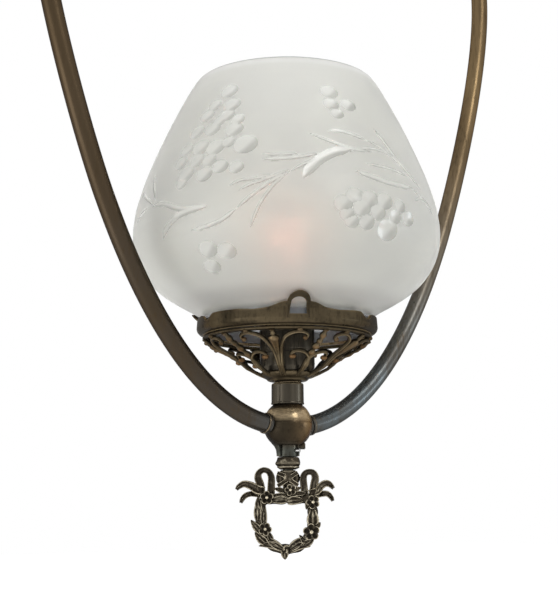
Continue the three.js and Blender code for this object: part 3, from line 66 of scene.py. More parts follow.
class Shape:
    """Points in mm, faces as rows of four corner numbers, and marks: one number a point, by name."""

    def __init__(self, points, faces, **marks):
        self.points = np.asarray(points, float).reshape(-1, 3)
        self.faces = np.asarray(faces, int).reshape(-1, 4)
        count = len(self.points)
        self.marks = {k: np.broadcast_to(np.asarray(v, float).reshape(-1), (count,)) for k, v in marks.items()}

    def at(self, points):
        """The same faces and marks on other points."""
        return Shape(points, self.faces, **self.marks)

    def turned(self, degrees):
        """Turned about the Z axis, anticlockwise from above."""
        c, s = math.cos(math.radians(degrees)), math.sin(math.radians(degrees))
        return self.at(self.points @ np.array([[c, s, 0], [-s, c, 0], [0, 0, 1]]))

    def moved(self, x, y, z):
        """Shifted by a vector."""
        return self.at(self.points + [x, y, z])

    def mirrored(self):
        """Mirrored left to right."""
        return self.at(self.points * [-1, 1, 1])

    def marked(self, name, value):
        """With one more mark: one number for all points, or one for each."""
        return Shape(self.points, self.faces, **{**self.marks, name: value})

    def closed(self):
        """Points in one place made one point, flat faces dropped, and the faces turned outwards: the volume
        of the tetrahedra from the middle to each face, added up, is positive."""
        keys = np.round(self.points * 2e3).astype(np.int64)
        _, first, number = np.unique(keys, axis=0, return_index=True, return_inverse=True)
        faces = number.reshape(-1)[self.faces]
        points = self.points[first]
        p = points - points.mean(0)
        a, b, c, d = (p[faces[:, k]] for k in range(4))
        volume = np.einsum("ij,ij->i", a, np.cross(b, c) + np.cross(c, d)).sum()
        if volume < 0:
            faces = faces[:, ::-1]
        return Shape(points, faces, **{k: v[first] for k, v in self.marks.items()})


def grid(points, wrap_u=False, wrap_v=False, **marks):
    """A surface over a table of points, rows by columns, closed round on itself in either direction."""
    rows, columns = points.shape[:2]
    number = np.arange(rows * columns).reshape(rows, columns)
    if wrap_u:
        number = np.concatenate([number, number[:1]], 0)
    if wrap_v:
        number = np.concatenate([number, number[:, :1]], 1)
    faces = np.stack([number[:-1, :-1], number[1:, :-1], number[1:, 1:], number[:-1, 1:]], -1)
    return Shape(points, faces, **marks)


def shell(outer, inner, wrap_u=False, **marks):
    """A closed wall between two tables of points of the same size: they are joined along every free edge."""
    points = np.concatenate([outer, inner[:, ::-1]], 1)
    whole = grid(points, wrap_u, True, **marks)
    if wrap_u:
        return whole
    rows, columns = points.shape[:2]
    half = columns // 2
    k = np.arange(half - 1)
    ends = [np.stack([k, k + 1, columns - 2 - k, columns - 1 - k], -1) + row * columns for row in (0, rows - 1)]
    ends[0] = ends[0][:, ::-1]
    faces = np.concatenate([whole.faces, *ends])
    return Shape(points, faces, **whole.marks)


def polar(r, degrees, z):
    """Points at a radius, an angle about Z in degrees, and a height."""
    r, a, z = np.broadcast_arrays(np.asarray(r, float), np.radians(degrees), np.asarray(z, float))
    return np.stack([r * np.cos(a), r * np.sin(a), z], -1)


def eased(profile, radius=0.4, steps=4, closed=False):
    """A profile with its corners rounded: each corner is cut back by the radius, or less on a short side,
    and the cut is bridged by a quadratic curve; one more point on each side keeps the flats flat. A corner
    that is nearly straight, or beside a point in the same place, stays as it is."""
    p = np.asarray(profile, float)
    out = []
    count = len(p)
    for i in range(count):
        if not closed and i in (0, count - 1):
            out.append(p[i])
            continue
        here, before, after = p[i], p[i - 1], p[(i + 1) % count]
        u, v = before - here, after - here
        lu, lv = np.hypot(*u), np.hypot(*v)
        if lu < 1e-6 or lv < 1e-6 or np.dot(u, v) / (lu * lv) < -0.985:
            out.append(here)
            continue
        back = min(radius, 0.35 * lu, 0.35 * lv)
        a, b = here + u / lu * back, here + v / lv * back
        t = np.linspace(0, 1, steps + 1)[:, None]
        out.append(here + u / lu * back * 1.3)
        out.extend((1 - t) ** 2 * a + 2 * t * (1 - t) * here + t ** 2 * b)
        out.append(here + v / lv * back * 1.3)
    return np.array(out)


def spread(marks, shape):
    """Marks given as one number, a row or a table, each as a full table."""
    return {k: np.broadcast_to(np.asarray(v, float), shape) for k, v in marks.items()}


def lathe(profile, count=96, closed=True, **marks):
    """A profile of radius and height turned about Z; an open one starts and ends on the axis."""
    p = np.asarray(profile, float)
    angles = np.arange(count) * 360 / count
    points = polar(p[None, :, 0], angles[:, None], p[None, :, 1])
    return grid(points, True, closed, **spread(marks, points.shape[:2]))


def curve(points, count, closed=False):
    """A Catmull-Rom curve through the points, read at even steps along its length; columns after the
    third ride along as numbers."""
    p = np.asarray(points, float)
    if closed:
        p = np.concatenate([p[-1:], p, p[:2]])
    else:
        p = np.concatenate([2 * p[:1] - p[1:2], p, 2 * p[-1:] - p[-2:-1]])
    t = np.linspace(0, 1, 14, endpoint=False)[:, None]
    rows = [0.5 * (2 * b + (c - a) * t + (2 * a - 5 * b + 4 * c - d) * t ** 2 + (3 * b - a - 3 * c + d) * t ** 3)
            for a, b, c, d in zip(p, p[1:], p[2:], p[3:])]
    line = np.concatenate(rows + [p[-2][None]])
    length = np.concatenate([[0], np.cumsum(np.linalg.norm(np.diff(line[:, :3], axis=0), axis=1))])
    at = np.linspace(0, length[-1], count + closed)[:count]
    return np.stack([np.interp(at, length, line[:, k]) for k in range(line.shape[1])], 1)


def unit(v):
    """Vectors of length one along the last axis."""
    return v / np.maximum(np.linalg.norm(v, axis=-1, keepdims=True), 1e-12)


def capped(points, path, **marks):
    """A table of sections along a path, with both open ends drawn together onto the path."""
    first, last = (np.broadcast_to(path[k], (1, *points.shape[1:])) for k in (0, -1))
    marks = {k: np.concatenate([v[:1], v, v[-1:]]) for k, v in marks.items()}
    return grid(np.concatenate([first, points, last]), False, True, **marks)


def swept(path, section, up, width=1.0, height=1.0, closed=False, **marks):
    """A section carried along a path: its first number goes across the path and its second along up, times
    the width and the height at each place."""
    path = np.asarray(path, float)
    up = np.broadcast_to(np.asarray(up, float), path.shape)
    if closed:
        ahead = np.roll(path, -1, 0) - np.roll(path, 1, 0)
    else:
        ahead = np.gradient(path, axis=0)
    side = unit(np.cross(unit(ahead), up))
    up = unit(np.cross(side, unit(ahead)))
    section = np.asarray(section, float)
    width, height = (np.broadcast_to(np.asarray(v, float), (len(path),)) for v in (width, height))
    points = (path[:, None] + section[None, :, :1] * width[:, None, None] * side[:, None]
              + section[None, :, 1:2] * height[:, None, None] * up[:, None])
    marks = spread(marks, points.shape[:2])
    return grid(points, True, True, **marks) if closed else capped(points, path, **marks)


def ring_section(count=16):
    """A circle of radius one."""
    a = np.arange(count) * TAU / count
    return np.stack([np.cos(a), np.sin(a)], -1)


def ball(centre, radii, count=20):
    """An ellipsoid about a centre: a half circle turned about Z, times the three radii."""
    a = np.linspace(-math.pi / 2, math.pi / 2, count // 2 + 1)
    whole = lathe(np.stack([np.cos(a), np.sin(a)], -1), count, False)
    return whole.at(whole.points * radii + centre)


def stand(name, data):
    """A new object in the scene."""
    obj = bpy.data.objects.new(name, data)
    bpy.context.scene.collection.objects.link(obj)
    return obj


def put(name, parts, paint, body, stands_for, crease=40):
    """One piece: its closed shapes in one mesh, in metres in the frame, riding on a body. Edges sharper than
    the crease, in degrees, stay sharp."""
    parts = [part.closed() for part in parts]
    names = sorted({mark for part in parts for mark in part.marks})
    faces, start = [], 0
    for part in parts:
        faces.append(part.faces + start)
        start += len(part.points)
    points = (np.concatenate([part.points for part in parts]) + [0, 0, BALL_Z]) / 1000
    rows = [tuple(dict.fromkeys(row)) for row in np.concatenate(faces).tolist()]
    mesh = bpy.data.meshes.new(name)
    mesh.from_pydata(points.tolist(), [], [row for row in rows if len(row) > 2])
    for mark in names:
        values = np.concatenate([part.marks.get(mark, np.zeros(len(part.points))) for part in parts])
        mesh.attributes.new(mark, "FLOAT", "POINT").data.foreach_set("value", values.astype(np.float32))
    mesh.shade_smooth()
    mesh.set_sharp_from_angle(angle=math.radians(crease))
    mesh.materials.append(paint)
    obj = stand(name, mesh)
    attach(obj, body)
    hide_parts(*stands_for)


# ---------------------------------------------------------------- materials

def rgb(red, green, blue):
    """A screen colour, 0 to 255, as light: each share to the power 2.2."""
    return tuple((v / 255) ** 2.2 for v in (red, green, blue)) + (1.0,)


def maths(operation):
    """A method of Value that adds a Math node of the operation."""
    def method(self, *others):
        """The node's result, from this value and the others in order."""
        return self.paint.node("ShaderNodeMath", dict(enumerate((self,) + others)), operation=operation)
    return method


class Value:
    """A number in a material; arithmetic on it adds Math nodes. top is the larger of two values, and size
    the value without its sign."""

    def __init__(self, paint, socket):
        self.paint, self.socket = paint, socket

    __add__ = __radd__ = maths("ADD")
    __sub__ = maths("SUBTRACT")
    __mul__ = __rmul__ = maths("MULTIPLY")
    top = maths("MAXIMUM")
    size = maths("ABSOLUTE")

    def __rsub__(self, other):
        """A number less this value."""
        return self * -1.0 + other

    def between(self, low, high):
        """0 below low, 1 above high, and a smooth step from one to the other."""
        return self.paint.node("ShaderNodeMapRange", {"Value": self, "From Min": low, "From Max": high},
                               interpolation_type="SMOOTHSTEP")


class Paint:
    """A material with one Principled shader: settings that are the same all over are given at the start."""

    def __init__(self, name, **shader):
        self.material = bpy.data.materials.new(name)
        self.material.use_nodes = True
        self.nodes, self.links = self.material.node_tree.nodes, self.material.node_tree.links
        self.shader = self.nodes["Principled BSDF"]
        for socket, value in shader.items():
            self.shader.inputs[socket.replace("_", " ")].default_value = value

    def node(self, kind, values, output=0, **settings):
        """Any node: its settings first, then a number, a colour or a link into each named socket."""
        node = self.nodes.new(kind)
        for key, setting in settings.items():
            setattr(node, key, setting)
        for socket, value in values.items():
            self.feed(node.inputs[socket], value)
        return Value(self, node.outputs[output])

    def feed(self, socket, value):
        """A link where the value is one, and otherwise the socket's own value."""
        if isinstance(value, Value):
            self.links.new(value.socket, socket)
        else:
            socket.default_value = value

    def set(self, **values):
        """Links or values into the shader's sockets."""
        for socket, value in values.items():
            self.feed(self.shader.inputs[socket.replace("_", " ")], value)
        return self

    def place(self, stretch=(1, 1, 1)):
        """Object coordinates in metres, times a stretch along each axis."""
        where = self.node("ShaderNodeTexCoord", {}, "Object")
        return self.node("ShaderNodeVectorMath", {0: where, 1: stretch}, operation="MULTIPLY")

    def noise(self, scale, detail=2.0, stretch=(1, 1, 1), rough=0.5):
        """Noise over the object, about 1000 / scale mm from one patch to the next."""
        return self.node("ShaderNodeTexNoise", {"Vector": self.place(stretch), "Scale": scale, "Detail": detail,
                                                "Roughness": rough})

    def mark(self, name):
        """A number that the mesh carries at its points."""
        return self.node("ShaderNodeAttribute", {}, "Fac", attribute_name=name)

    def axis(self, letter):
        """The object's own coordinate in metres: Z is the height, and X the way right of the hoop's middle."""
        return self.node("ShaderNodeSeparateXYZ", {0: self.place()}, letter)

    def mix(self, first, second, share):
        """One colour into another by a share."""
        return self.node("ShaderNodeMix", {0: share, 6: first, 7: second}, 2, data_type="RGBA")

    def bump(self, height, depth, strength=1.0):
        """A bumped normal: the height, 0 to 1, stands for a depth in metres."""
        return self.node("ShaderNodeBump", {"Height": height, "Distance": depth, "Strength": strength})


WARM = rgb(134, 100, 66)
COOL_Z = (-0.66, -0.42)          # heights in metres: the hoop's grey-blue foot, with its painted cool reflection and painted shade, changes into the rest of its skin
UNDER_Z = (-0.663, -0.656)       # and the skin under the lower ball into the ball's


def bronze(name, base, dark, worn, rough, grain=(1, 1, 1), fine=0.00001, painted_glints=0.0,
           left=None, cool=None, cool_left=None, reach=0.06, under=None):
    """Aged bronze, part metal and part dull skin. Noise lays dark patches, specks and streaks over the base
    colour, and a grain in the normal, fine metres deep. A mark at the points makes it lighter and smoother above
    nought and darker below: worn high places and patina in hollows, and also painted highlight and painted shade
    on the lower ball and on the ribbons. A share of painted glints lays bright spots in the darker places, and
    the mark warm makes it warmer. Left of the middle the colour changes over the reach into the colour left,
    painted shade on the side away from the key lamp. Low on the hoop it has the colour cool, a grey-blue that
    is lighter on the right as a painted cool reflection, or cool_left on the left side, darker as painted shade;
    and below the ball it has the colour under."""
    p = Paint(name, Metallic=0.72, Specular_Tint=(0.14, 0.12, 0.1, 1), Specular_IOR_Level=0.2)
    cloud = p.noise(45, 3.0, grain).between(0.35, 0.68)
    speck = p.noise(620, 3.0, grain, 0.6)
    streak = p.noise(210, 4.0, (grain[0] * 2.5, grain[1] * 2.5, grain[2] * 0.5), 0.6)
    rub = p.mark("rub")
    # painted shade: left of the middle the colour left darkens the side away from the key lamp
    if left:
        side = p.axis("X").between(-reach, reach)
        base = p.mix(left, base, side)
    # the hoop's grey-blue foot, lighter on the right as a painted cool reflection and darker on the left as painted
    # shade
    if cool:
        base = p.mix(p.mix(cool_left, cool, side), base, p.axis("Z").between(*COOL_Z))
    if under:
        base = p.mix(under, base, p.axis("Z").between(*UNDER_Z))
    colour = p.mix(base, dark, cloud * 0.5 + speck.between(0.5, 0.75) * 0.3 + streak.between(0.48, 0.7) * 0.35)
    # darker below nought: patina in hollows, and painted shade on the lower ball and in the ribbons' middles
    colour = p.mix(colour, dark, (rub * -1.0).between(0.0, 1.0) * 0.92)
    # lighter above nought: worn high places, and a painted highlight on the lower ball's belt and the ribbons' edges
    gleam = rub.between(0.1, 1.0) * (0.55 + 0.45 * speck.between(0.3, 0.6))
    # painted glints: bright spots in the darker places
    if painted_glints:
        spots = p.noise(230, 2.0).between(0.5, 0.72)
        gleam = gleam.top(rub.between(-0.75, 0.1) * spots * painted_glints)
    colour = p.mix(colour, worn, gleam)
    colour = p.mix(colour, WARM, p.mark("warm") * (0.3 + 0.45 * speck))
    p.set(Base_Color=colour, Roughness=rough + 0.14 * (cloud - 0.5) + 0.1 * (speck - 0.5) - 0.06 * gleam,
          Normal=p.bump(speck * 0.6 + streak * 0.4, fine, 0.6))
    return p.material


def solid(name, colour, other, rough, metallic=0.0, scale=260, depth=0.00002, **shader):
    """A plain matt or metal surface with fine mottling in its colour, its gloss and its normal."""
    p = Paint(name, Metallic=metallic, **shader)
    spots = p.noise(scale, 4.0)
    p.set(Base_Color=p.mix(colour, other, spots.between(0.3, 0.7)), Roughness=rough + 0.15 * (spots - 0.5),
          Normal=p.bump(spots, depth, 0.6))
    return p.material


SHADOW_RING_Z = (-0.5835, -0.5790), (-0.5775, -0.5715)  # heights in metres: the painted shadow ring on the glass comes and goes
SHADED_NECK_Z = (-0.5855, -0.5838)                      # and its neck, painted darker as shade, changes into the bowl


def frosted_glass():
    """Sandblasted glass with ground cuts. The marks leaf and berry give the way in from a cut's edge in mm,
    slant the side of a cut that is painted lit or shaded, and lip the ground edge at the mouth. Inside a cut the
    glass is smoother and clearer, lighter but for its slanted side, which is painted shade, and its edge is a
    soft darker line. A soft grey ring where the bowl turns in to its neck is a painted shadow, and the neck
    inside the gallery is painted darker as shade, and smoother. A grey-blue line lies on the ground edge at the
    mouth, with a painted highlight band just under it."""
    p = Paint("frosted glass", Transmission_Weight=0.62, IOR=1.46)
    grain = p.noise(1500, 2.0)
    cloud = p.noise(26, 2.0)
    leaf, berry, slant, lip = p.mark("leaf"), p.mark("berry"), p.mark("slant"), p.mark("lip")
    edge = leaf.top(berry)
    inside = edge.between(-0.1, 0.3)
    line = inside * (1.0 - edge.between(0.2, 0.8))
    frost = p.mix(rgb(241, 241, 235), rgb(236, 236, 231), cloud.between(0.35, 0.65))
    # inside a cut lighter, as the clearer glass and as the painted lit side of its slant
    colour = p.mix(frost, rgb(254, 254, 250), inside * 0.85 * (1.0 - slant.between(-0.1, 0.7)))
    colour = p.mix(colour, rgb(190, 192, 188), line * 0.35)
    # painted shade on the slanted side of a cut
    colour = p.mix(colour, rgb(186, 188, 182), slant.between(-0.05, 0.9) * 0.6)
    # a painted shadow ring where the bowl turns in to its neck
    ring = p.axis("Z").between(*SHADOW_RING_Z[0]) * (1.0 - p.axis("Z").between(*SHADOW_RING_Z[1]))
    colour = p.mix(colour, rgb(196, 194, 191), ring * 0.5)
    # the neck inside the gallery is painted darker blue-grey as shade
    neck = 1.0 - p.axis("Z").between(*SHADED_NECK_Z)
    colour = p.mix(colour, rgb(176, 181, 188), neck)
    # a grey-blue line on the ground edge, and under it a painted highlight band
    colour = p.mix(colour, rgb(150, 158, 166), lip.between(0.5, 1.0) * 0.8)
    colour = p.mix(colour, rgb(255, 255, 253), (1.0 - (lip - 0.3).size().between(0.0, 0.3)) * 0.8)
    ground = grain * 0.25 + edge.between(0.0, 1.0) * -1.0
    p.set(Base_Color=colour, Roughness=0.44 + 0.1 * (grain - 0.5) - 0.28 * inside - 0.3 * neck,
          Normal=p.bump(ground, 0.0001, 0.6))
    return p.material


def clear_glass():
    """Thin clear bulb glass with faint waves."""
    p = Paint("bulb glass", Transmission_Weight=0.96, IOR=1.45, Roughness=0.06,
              Emission_Color=(1.0, 0.44, 0.38, 1), Emission_Strength=0.06)
    wave = p.noise(40, 2.0)
    p.set(Base_Color=p.mix(rgb(252, 246, 238), rgb(246, 238, 226), wave), Normal=p.bump(wave, 0.0003, 0.3))
    return p.material


def glowing_wire():
    """Filament, its wires and its glass stem: alight only where the mark lit is one."""
    p = Paint("filament", Metallic=0.0, Emission_Strength=47.0)
    grain = p.noise(900, 2.0)
    glow = p.mix((1.0, 0.45, 0.39, 1), (1.0, 0.40, 0.33, 1), grain)
    p.set(Base_Color=p.mix(rgb(206, 204, 198), rgb(188, 186, 180), grain), Roughness=0.3 + 0.1 * grain,
          Emission_Color=p.mix((0, 0, 0, 1), glow, p.mark("lit")))
    return p.material


# the hoop's colour left is painted shade on its side away from the key lamp; cool is its grey-blue foot, lighter on the
# right as a painted cool reflection, and cool_left is painted shade on the left foot
TUBE = bronze("tube bronze", rgb(117, 99, 73), rgb(70, 59, 45), rgb(152, 130, 96), 0.36, (1, 1, 0.15), 0.000005,
              left=rgb(79, 67, 52), cool=rgb(91, 98, 101), cool_left=rgb(67, 61, 54))
# the balls' colour left is painted shade on the side away from the key lamp, and the worn colour also gives the painted
# highlight on the lower ball's belt
BALLS = bronze("ball bronze", rgb(130, 107, 79), rgb(44, 39, 33), rgb(214, 190, 152), 0.33, (0.7, 0.7, 1.6),
               left=rgb(60, 54, 44), reach=0.011, under=rgb(92, 96, 90))
CAST = bronze("cast bronze", rgb(88, 78, 61), rgb(36, 33, 28), rgb(158, 140, 110), 0.36, fine=0.00003)
# the wreath's bronze has painted glints: bright spots in its darker places
ANTIQUE = bronze("antique bronze", rgb(80, 73, 62), rgb(22, 20, 18), rgb(226, 214, 186), 0.28, fine=0.00004,
                 painted_glints=0.45)
TURNED = bronze("turned bronze", rgb(82, 77, 68), rgb(46, 43, 38), rgb(136, 120, 92), 0.34, (3, 3, 0.08))
BRASS = solid("brass", rgb(196, 160, 96), rgb(160, 124, 70), 0.3, 1.0, Specular_Tint=(0.5, 0.42, 0.3, 1))
STEEL = solid("steel", rgb(176, 176, 174), rgb(148, 148, 146), 0.34, 1.0)
PORCELAIN = solid("porcelain", rgb(238, 236, 230), rgb(226, 223, 214), 0.25, depth=0.00001)
PLASTIC = solid("white plastic", rgb(230, 228, 220), rgb(220, 217, 208), 0.5)
FIBRE = solid("fibre", rgb(66, 54, 46), rgb(48, 38, 32), 0.8, scale=700)
LEAD_BROWN = solid("brown lead", rgb(140, 106, 62), rgb(116, 86, 50), 0.7, scale=1200, depth=0.00004)
LEAD_GREY = solid("grey lead", rgb(64, 76, 88), rgb(50, 60, 72), 0.7, scale=1200, depth=0.00004)
GLASS = frosted_glass()
BULB = clear_glass()
WIRE = glowing_wire()


# ---------------------------------------------------------------- hoop and balls

def bezier(a, b, c, d, count):
    """A cubic curve in the plane of the hoop: four points, each times its cubic share of the way."""
    t = np.linspace(0, 1, count)[:, None]
    a, b, c, d = (np.array(v, float) for v in (a, b, c, d))
    return (1 - t) ** 3 * a + 3 * t * (1 - t) ** 2 * b + 3 * t * t * (1 - t) * c + t ** 3 * d


HOOP = np.concatenate([
    bezier((0, -0.92), (71.04, -3.17), (114.18, 97.09), (124.87, 121.45), 90),
    bezier((124.87, 121.45), (135.61, 145.92), (172.39, 247.19), (172.39, 304.03), 90)[1:],
    bezier((172.39, 304.03), (172.39, 396.8), (95.2, 472), (0, 472), 120)[1:],
])
TUBE_R = 5.55
SUNK = 12.7                      # how far from a ball's centre the end of the tube lies


def hoop_arm():
    """One half of the hoop: a round tube along the curve, from inside the lower ball to inside the upper."""
    near = np.hypot(HOOP[:, 0], HOOP[:, 1]) > SUNK
    far = np.hypot(HOOP[:, 0], HOOP[:, 1] - UP_BALL) > SUNK
    line = HOOP[near & far]
    path = np.stack([line[:, 0], 0 * line[:, 0], line[:, 1]], 1)
    return swept(path, ring_section(56) * TUBE_R, (0, 1, 0))


def arm_place(centre_z, radius, end):
    """Where the hoop's curve passes a distance from a ball's centre, and its direction there."""
    line = HOOP if end == "foot" else HOOP[::-1]
    away = np.hypot(line[:, 0], line[:, 1] - centre_z)
    k = int(np.argmax(away > radius))
    return line[k], unit(line[k + 1] - line[k - 1])


def arm_ring(centre_z, end):
    """A thin rounded lip round the tube where it meets a ball, just inside the ball's skin."""
    place, ahead = arm_place(centre_z, BALL_R - 0.3, end)
    loop = eased([(5.75, -0.9), (6.2, -0.9), (6.3, 0.2), (6.1, 0.95), (5.75, 0.95)], 0.25, 3, True)
    ring = lathe(loop, 48, rub=np.where(loop[:, 1] > 0.3, 0.5, -0.4))
    axis = np.array([ahead[0], 0, ahead[1]])
    across = np.array([ahead[1], 0, -ahead[0]])
    turn = np.stack([across, [0, 1, 0], axis])
    return ring.at(ring.points @ turn + [place[0], 0, place[1]])


def ball_arc(radius, low, high, count):
    """Radius and height along a sphere from one height to another."""
    a = np.linspace(math.asin(low / radius), math.asin(high / radius), count)
    return np.stack([radius * np.cos(a), radius * np.sin(a)], -1)


def key_angle(degrees):
    """World degrees for an angle about the key, from its face."""
    return degrees + 270 - KEY_TURN


def part_ring(outer, bore, start, end, count, rub):
    """Part of a ring between two angles about the key: an outer profile over a straight bore. The rub is one
    number, or one for each point of the profile, and the bore has the same."""
    angles = key_angle(np.linspace(start, end, count))[:, None]
    rub = np.broadcast_to(rub, len(outer))
    return shell(polar(outer[None, :, 0], angles, outer[None, :, 1]), polar(bore, angles, outer[None, :, 1]),
                 rub=np.tile(np.concatenate([rub, rub[::-1]]), (count, 1)))


def lower_ball():
    """The ball with a fine groove round it, the barrel under it with the open notch for the stop, and the
    lug beside the notch."""
    groove = [(14.45, 1.55), (14.33, 1.32), (14.3, 1.2), (14.33, 1.08), (14.45, 0.85)]
    body = np.concatenate([
        ball_arc(BALL_R, 1.62, 11.8, 22)[::-1], groove, ball_arc(BALL_R, -10.6, 0.78, 28)[::-1],
        eased([(9.9, -10.7), (9.55, -11.1), (9.3, -11.45), (8.6, -12.1), (5.9, -12.1), (5.9, -9.9)], 0.25, 2),
        ball_arc(BALL_BORE, -8.0, 9.0, 14), [(8.6, 9.0), (8.6, 11.6)],
    ])
    # painted shade on the ball's lower half and a painted highlight on its upper belt; darker again at the top by the
    # collar and along the groove
    rub = np.interp(body[:, 1], [-12, -8, -4, 0, 4, 8, 11.8], [-0.7, -0.55, -0.3, 0.1, 0.5, 0.6, -0.3])
    rub = np.where((np.abs(body[:, 1] - 1.2) < 0.15) & (body[:, 0] < 14.4), -0.35, rub)
    barrel = eased([(8.7, -11.9), (8.35, -12.5), (7.9, -13.1), (7.1, -14.8), (6.75, -17.6), (6.8, -18.3),
                    (6.5, -18.49)], 0.3, 3)
    dim = np.interp(barrel[:, 1], [-18.5, -17.9, -17.4, -12], [0.35, 0.25, -0.1, -0.25])
    lug = eased([(6.4, -10.6), (9.9, -10.7), (10.3, -11.2), (10.3, -13.9), (9.9, -14.5), (6.4, -14.5)], 0.4, 3)
    return [lathe(body, 112, rub=rub), part_ring(barrel, 5.9, 75, 317, 60, dim),
            part_ring(lug, 6.4, 75, 95, 8, -0.55)]


def upper_ball():
    """The hollow ball at the top of the hoop, open for the stem: its profile goes down the inside and up the
    outside."""
    outside, inside = ball_arc(BALL_R, -14.49, 12.9, 44), ball_arc(BALL_BORE, -12.29, 10.4, 24)
    outside[0, 0] = inside[0, 0] = 0
    return lathe(np.concatenate([inside[::-1], outside]), 96).moved(0, 0, UP_BALL)


arm = hoop_arm()
put("hoop_right_tube", [arm], TUBE, "pendant", ["hoop_arm_right"])
put("hoop_left_tube", [arm.mirrored()], TUBE, "pendant", ["hoop_arm_left"])
for side in ("right", "left"):
    for where, centre_z in (("foot", 0.0), ("crown", UP_BALL)):
        lip = arm_ring(centre_z, where)
        put(f"{where}_lip_{side}", [lip if side == "right" else lip.mirrored()], TUBE, "pendant",
            [f"{where}_ring_{side}"])
put("foot_ball", lower_ball(), BALLS, "pendant", ["lower_ball"])
put("crown_ball", [upper_ball()], BALLS, "pendant", ["upper_ball"])


# ---------------------------------------------------------------- neck and tap

def thread(radius, low, high, pitch, depth, bore, count=72, per_turn=16):
    """A threaded pipe: the outer radius falls by the depth and rises again once a pitch, as a cosine along a
    helix, which fades over the last half millimetre at both ends."""
    z = np.arange(low, high + 1e-6, pitch / per_turn)
    angle = np.arange(count) * 360 / count
    phase = (z[None] - low) / pitch - angle[:, None] / 360
    cut = depth * (0.5 - 0.5 * np.cos(TAU * phase))
    cut = cut * np.clip((z - low) / 0.5, 0, 1) * np.clip((high - z) / 0.5, 0, 1)
    outer = polar(radius - cut, angle[:, None], z[None])
    inner = polar(bore, angle[:, None], z[None])
    marks = np.concatenate([0.8 - 1.6 * cut / depth, 0 * cut], 1)
    return shell(outer, inner, True, rub=marks)


put("gas_thread", [thread(8.3, 9.1, 34.87, 1.34, 0.55, 6.2)], BALLS, "pendant", ["gas_nipple"])
collar = eased([(8.6, 11.97), (9.75, 11.97), (9.85, 12.6), (9.6, 13.2), (9.55, 23.4), (9.35, 24.1), (8.9, 24.37),
                (8.6, 24.37)], 0.5, 4, True)
put("neck_collar", [lathe(collar, 96, rub=(collar[:, 1] > 23.3) * 0.5)], TURNED, "pendant",
    ["nipple_collar"])


def bead():
    """The turned bead under the plug, cast a little lumpy: outside its bore its radius swells and shrinks by
    3 % in five waves round it, which lean with the height."""
    line = eased([(3.3, -19.09), (6.1, -19.09), (6.5, -19.9), (6.9, -21.1), (7.4, -22.5), (7.25, -23.4),
                  (6.4, -24.3), (6.6, -24.75), (6.5, -25.2), (5.6, -25.7), (4.6, -26.29), (3.3, -26.29)], 0.35, 3, True)
    rub = np.interp(line[:, 1], [-25.3, -25.0, -24.6, -24.3, -22.8, -22.4, -19.5, -19.1],
                    [0.1, 0.45, 0.45, -0.7, 0.4, 0.3, -0.1, 0.4])
    knob = lathe(line, 88, rub=rub)
    x, y, z = knob.points.T
    swell = 1 + 0.03 * np.sin(5 * np.arctan2(y, x) + 1.3 * z) * (np.hypot(x, y) > 5)
    return knob.at(np.stack([x * swell, y * swell, z], 1))


put("turned_bead", [bead()], ANTIQUE, "tap", ["key_bead"])


# ---------------------------------------------------------------- gallery

BASKET_R = np.array([9.6, 13, 19, 24, 27.5, 31, 37, 44, 50])
BASKET_Z = np.array([25.6, 27.2, 29.8, 32.4, 35.4, 38.3, 41.5, 45.0, 49.6])


def basket_line(points, upright, side, count):
    """A line on the basket's outer surface from [degrees, radius, width] rows, with the outward direction
    at each place."""
    rows = np.asarray(points, float)
    flat = polar(rows[:, 1], upright + side * rows[:, 0], 0 * rows[:, 1])
    flat = curve(np.concatenate([flat, rows[:, 2:3]], 1), count)
    r = np.hypot(flat[:, 0], flat[:, 1])
    z = np.interp(r, BASKET_R, BASKET_Z)
    slope = (np.interp(r + 1.5, BASKET_R, BASKET_Z) - np.interp(r - 1.5, BASKET_R, BASKET_Z)) / 3
    path = np.stack([flat[:, 0], flat[:, 1], z + 0.9], 1)
    out = unit(np.stack([slope * flat[:, 0] / r, slope * flat[:, 1] / r, -np.ones(len(r))], 1))
    return path, out, flat[:, 3]


SCROLL_SECTION = np.array([(-0.5, -0.8), (0.5, -0.8), (0.53, 0.0), (0.43, 0.45), (0.2, 0.85), (0.0, 1.0), (-0.2, 0.85),
                           (-0.43, 0.45), (-0.53, 0.0)])
SCROLL_RUB = np.array([-0.8, -0.8, -0.6, -0.4, 0.15, 0.7, 0.15, -0.4, -0.6])
ROUND_SECTION = np.array([(math.cos(a) * 0.5, max(math.sin(a), -0.75)) for a in np.arange(16) * TAU / 16])
ROUND_RUB = np.clip(np.sin(np.arange(16) * TAU / 16) * 1.3 - 0.8, -0.8, 0.4)

# each line's rows: degrees from its upright, radius, width
TALL_SCROLL = [(5.0, 13.5, 1.6), (3.2, 17, 1.9), (2.5, 20.5, 2.1), (2.7, 25, 2.2), (3.7, 31, 2.3), (5.4, 38, 2.4),
               (8.2, 44.2, 2.5), (12.5, 46.9, 2.4), (17.3, 48.1, 2.4), (21.5, 47.8, 2.2), (24.6, 46.4, 2.1),
               (24.4, 44.6, 2.1), (22.3, 44.6, 2.4)]
SPIRAL = [(5.0, 13.5, 1.6), (2.4, 17, 1.8), (1.6, 20, 2.1), (2.2, 23.5, 2.2), (1.2, 26.8, 2.3), (-2.5, 29.4, 2.4),
          (-7, 31.3, 2.5), (-12.5, 32.7, 2.5), (-18, 32.3, 2.4), (-21.4, 30.3, 2.2), (-19.6, 28.6, 2.2)]
VASE = [(0, 13.5, 1.4), (0, 20, 1.7), (0, 26, 2.1), (0, 32, 3.0), (0, 38, 4.5), (0, 42.5, 5.9), (0, 44.9, 6.6),
        (0, 45.7, 2.4), (0, 46.4, 2.2), (0, 47.5, 3.5), (0, 48.6, 2.1), (0, 50, 3.8)]
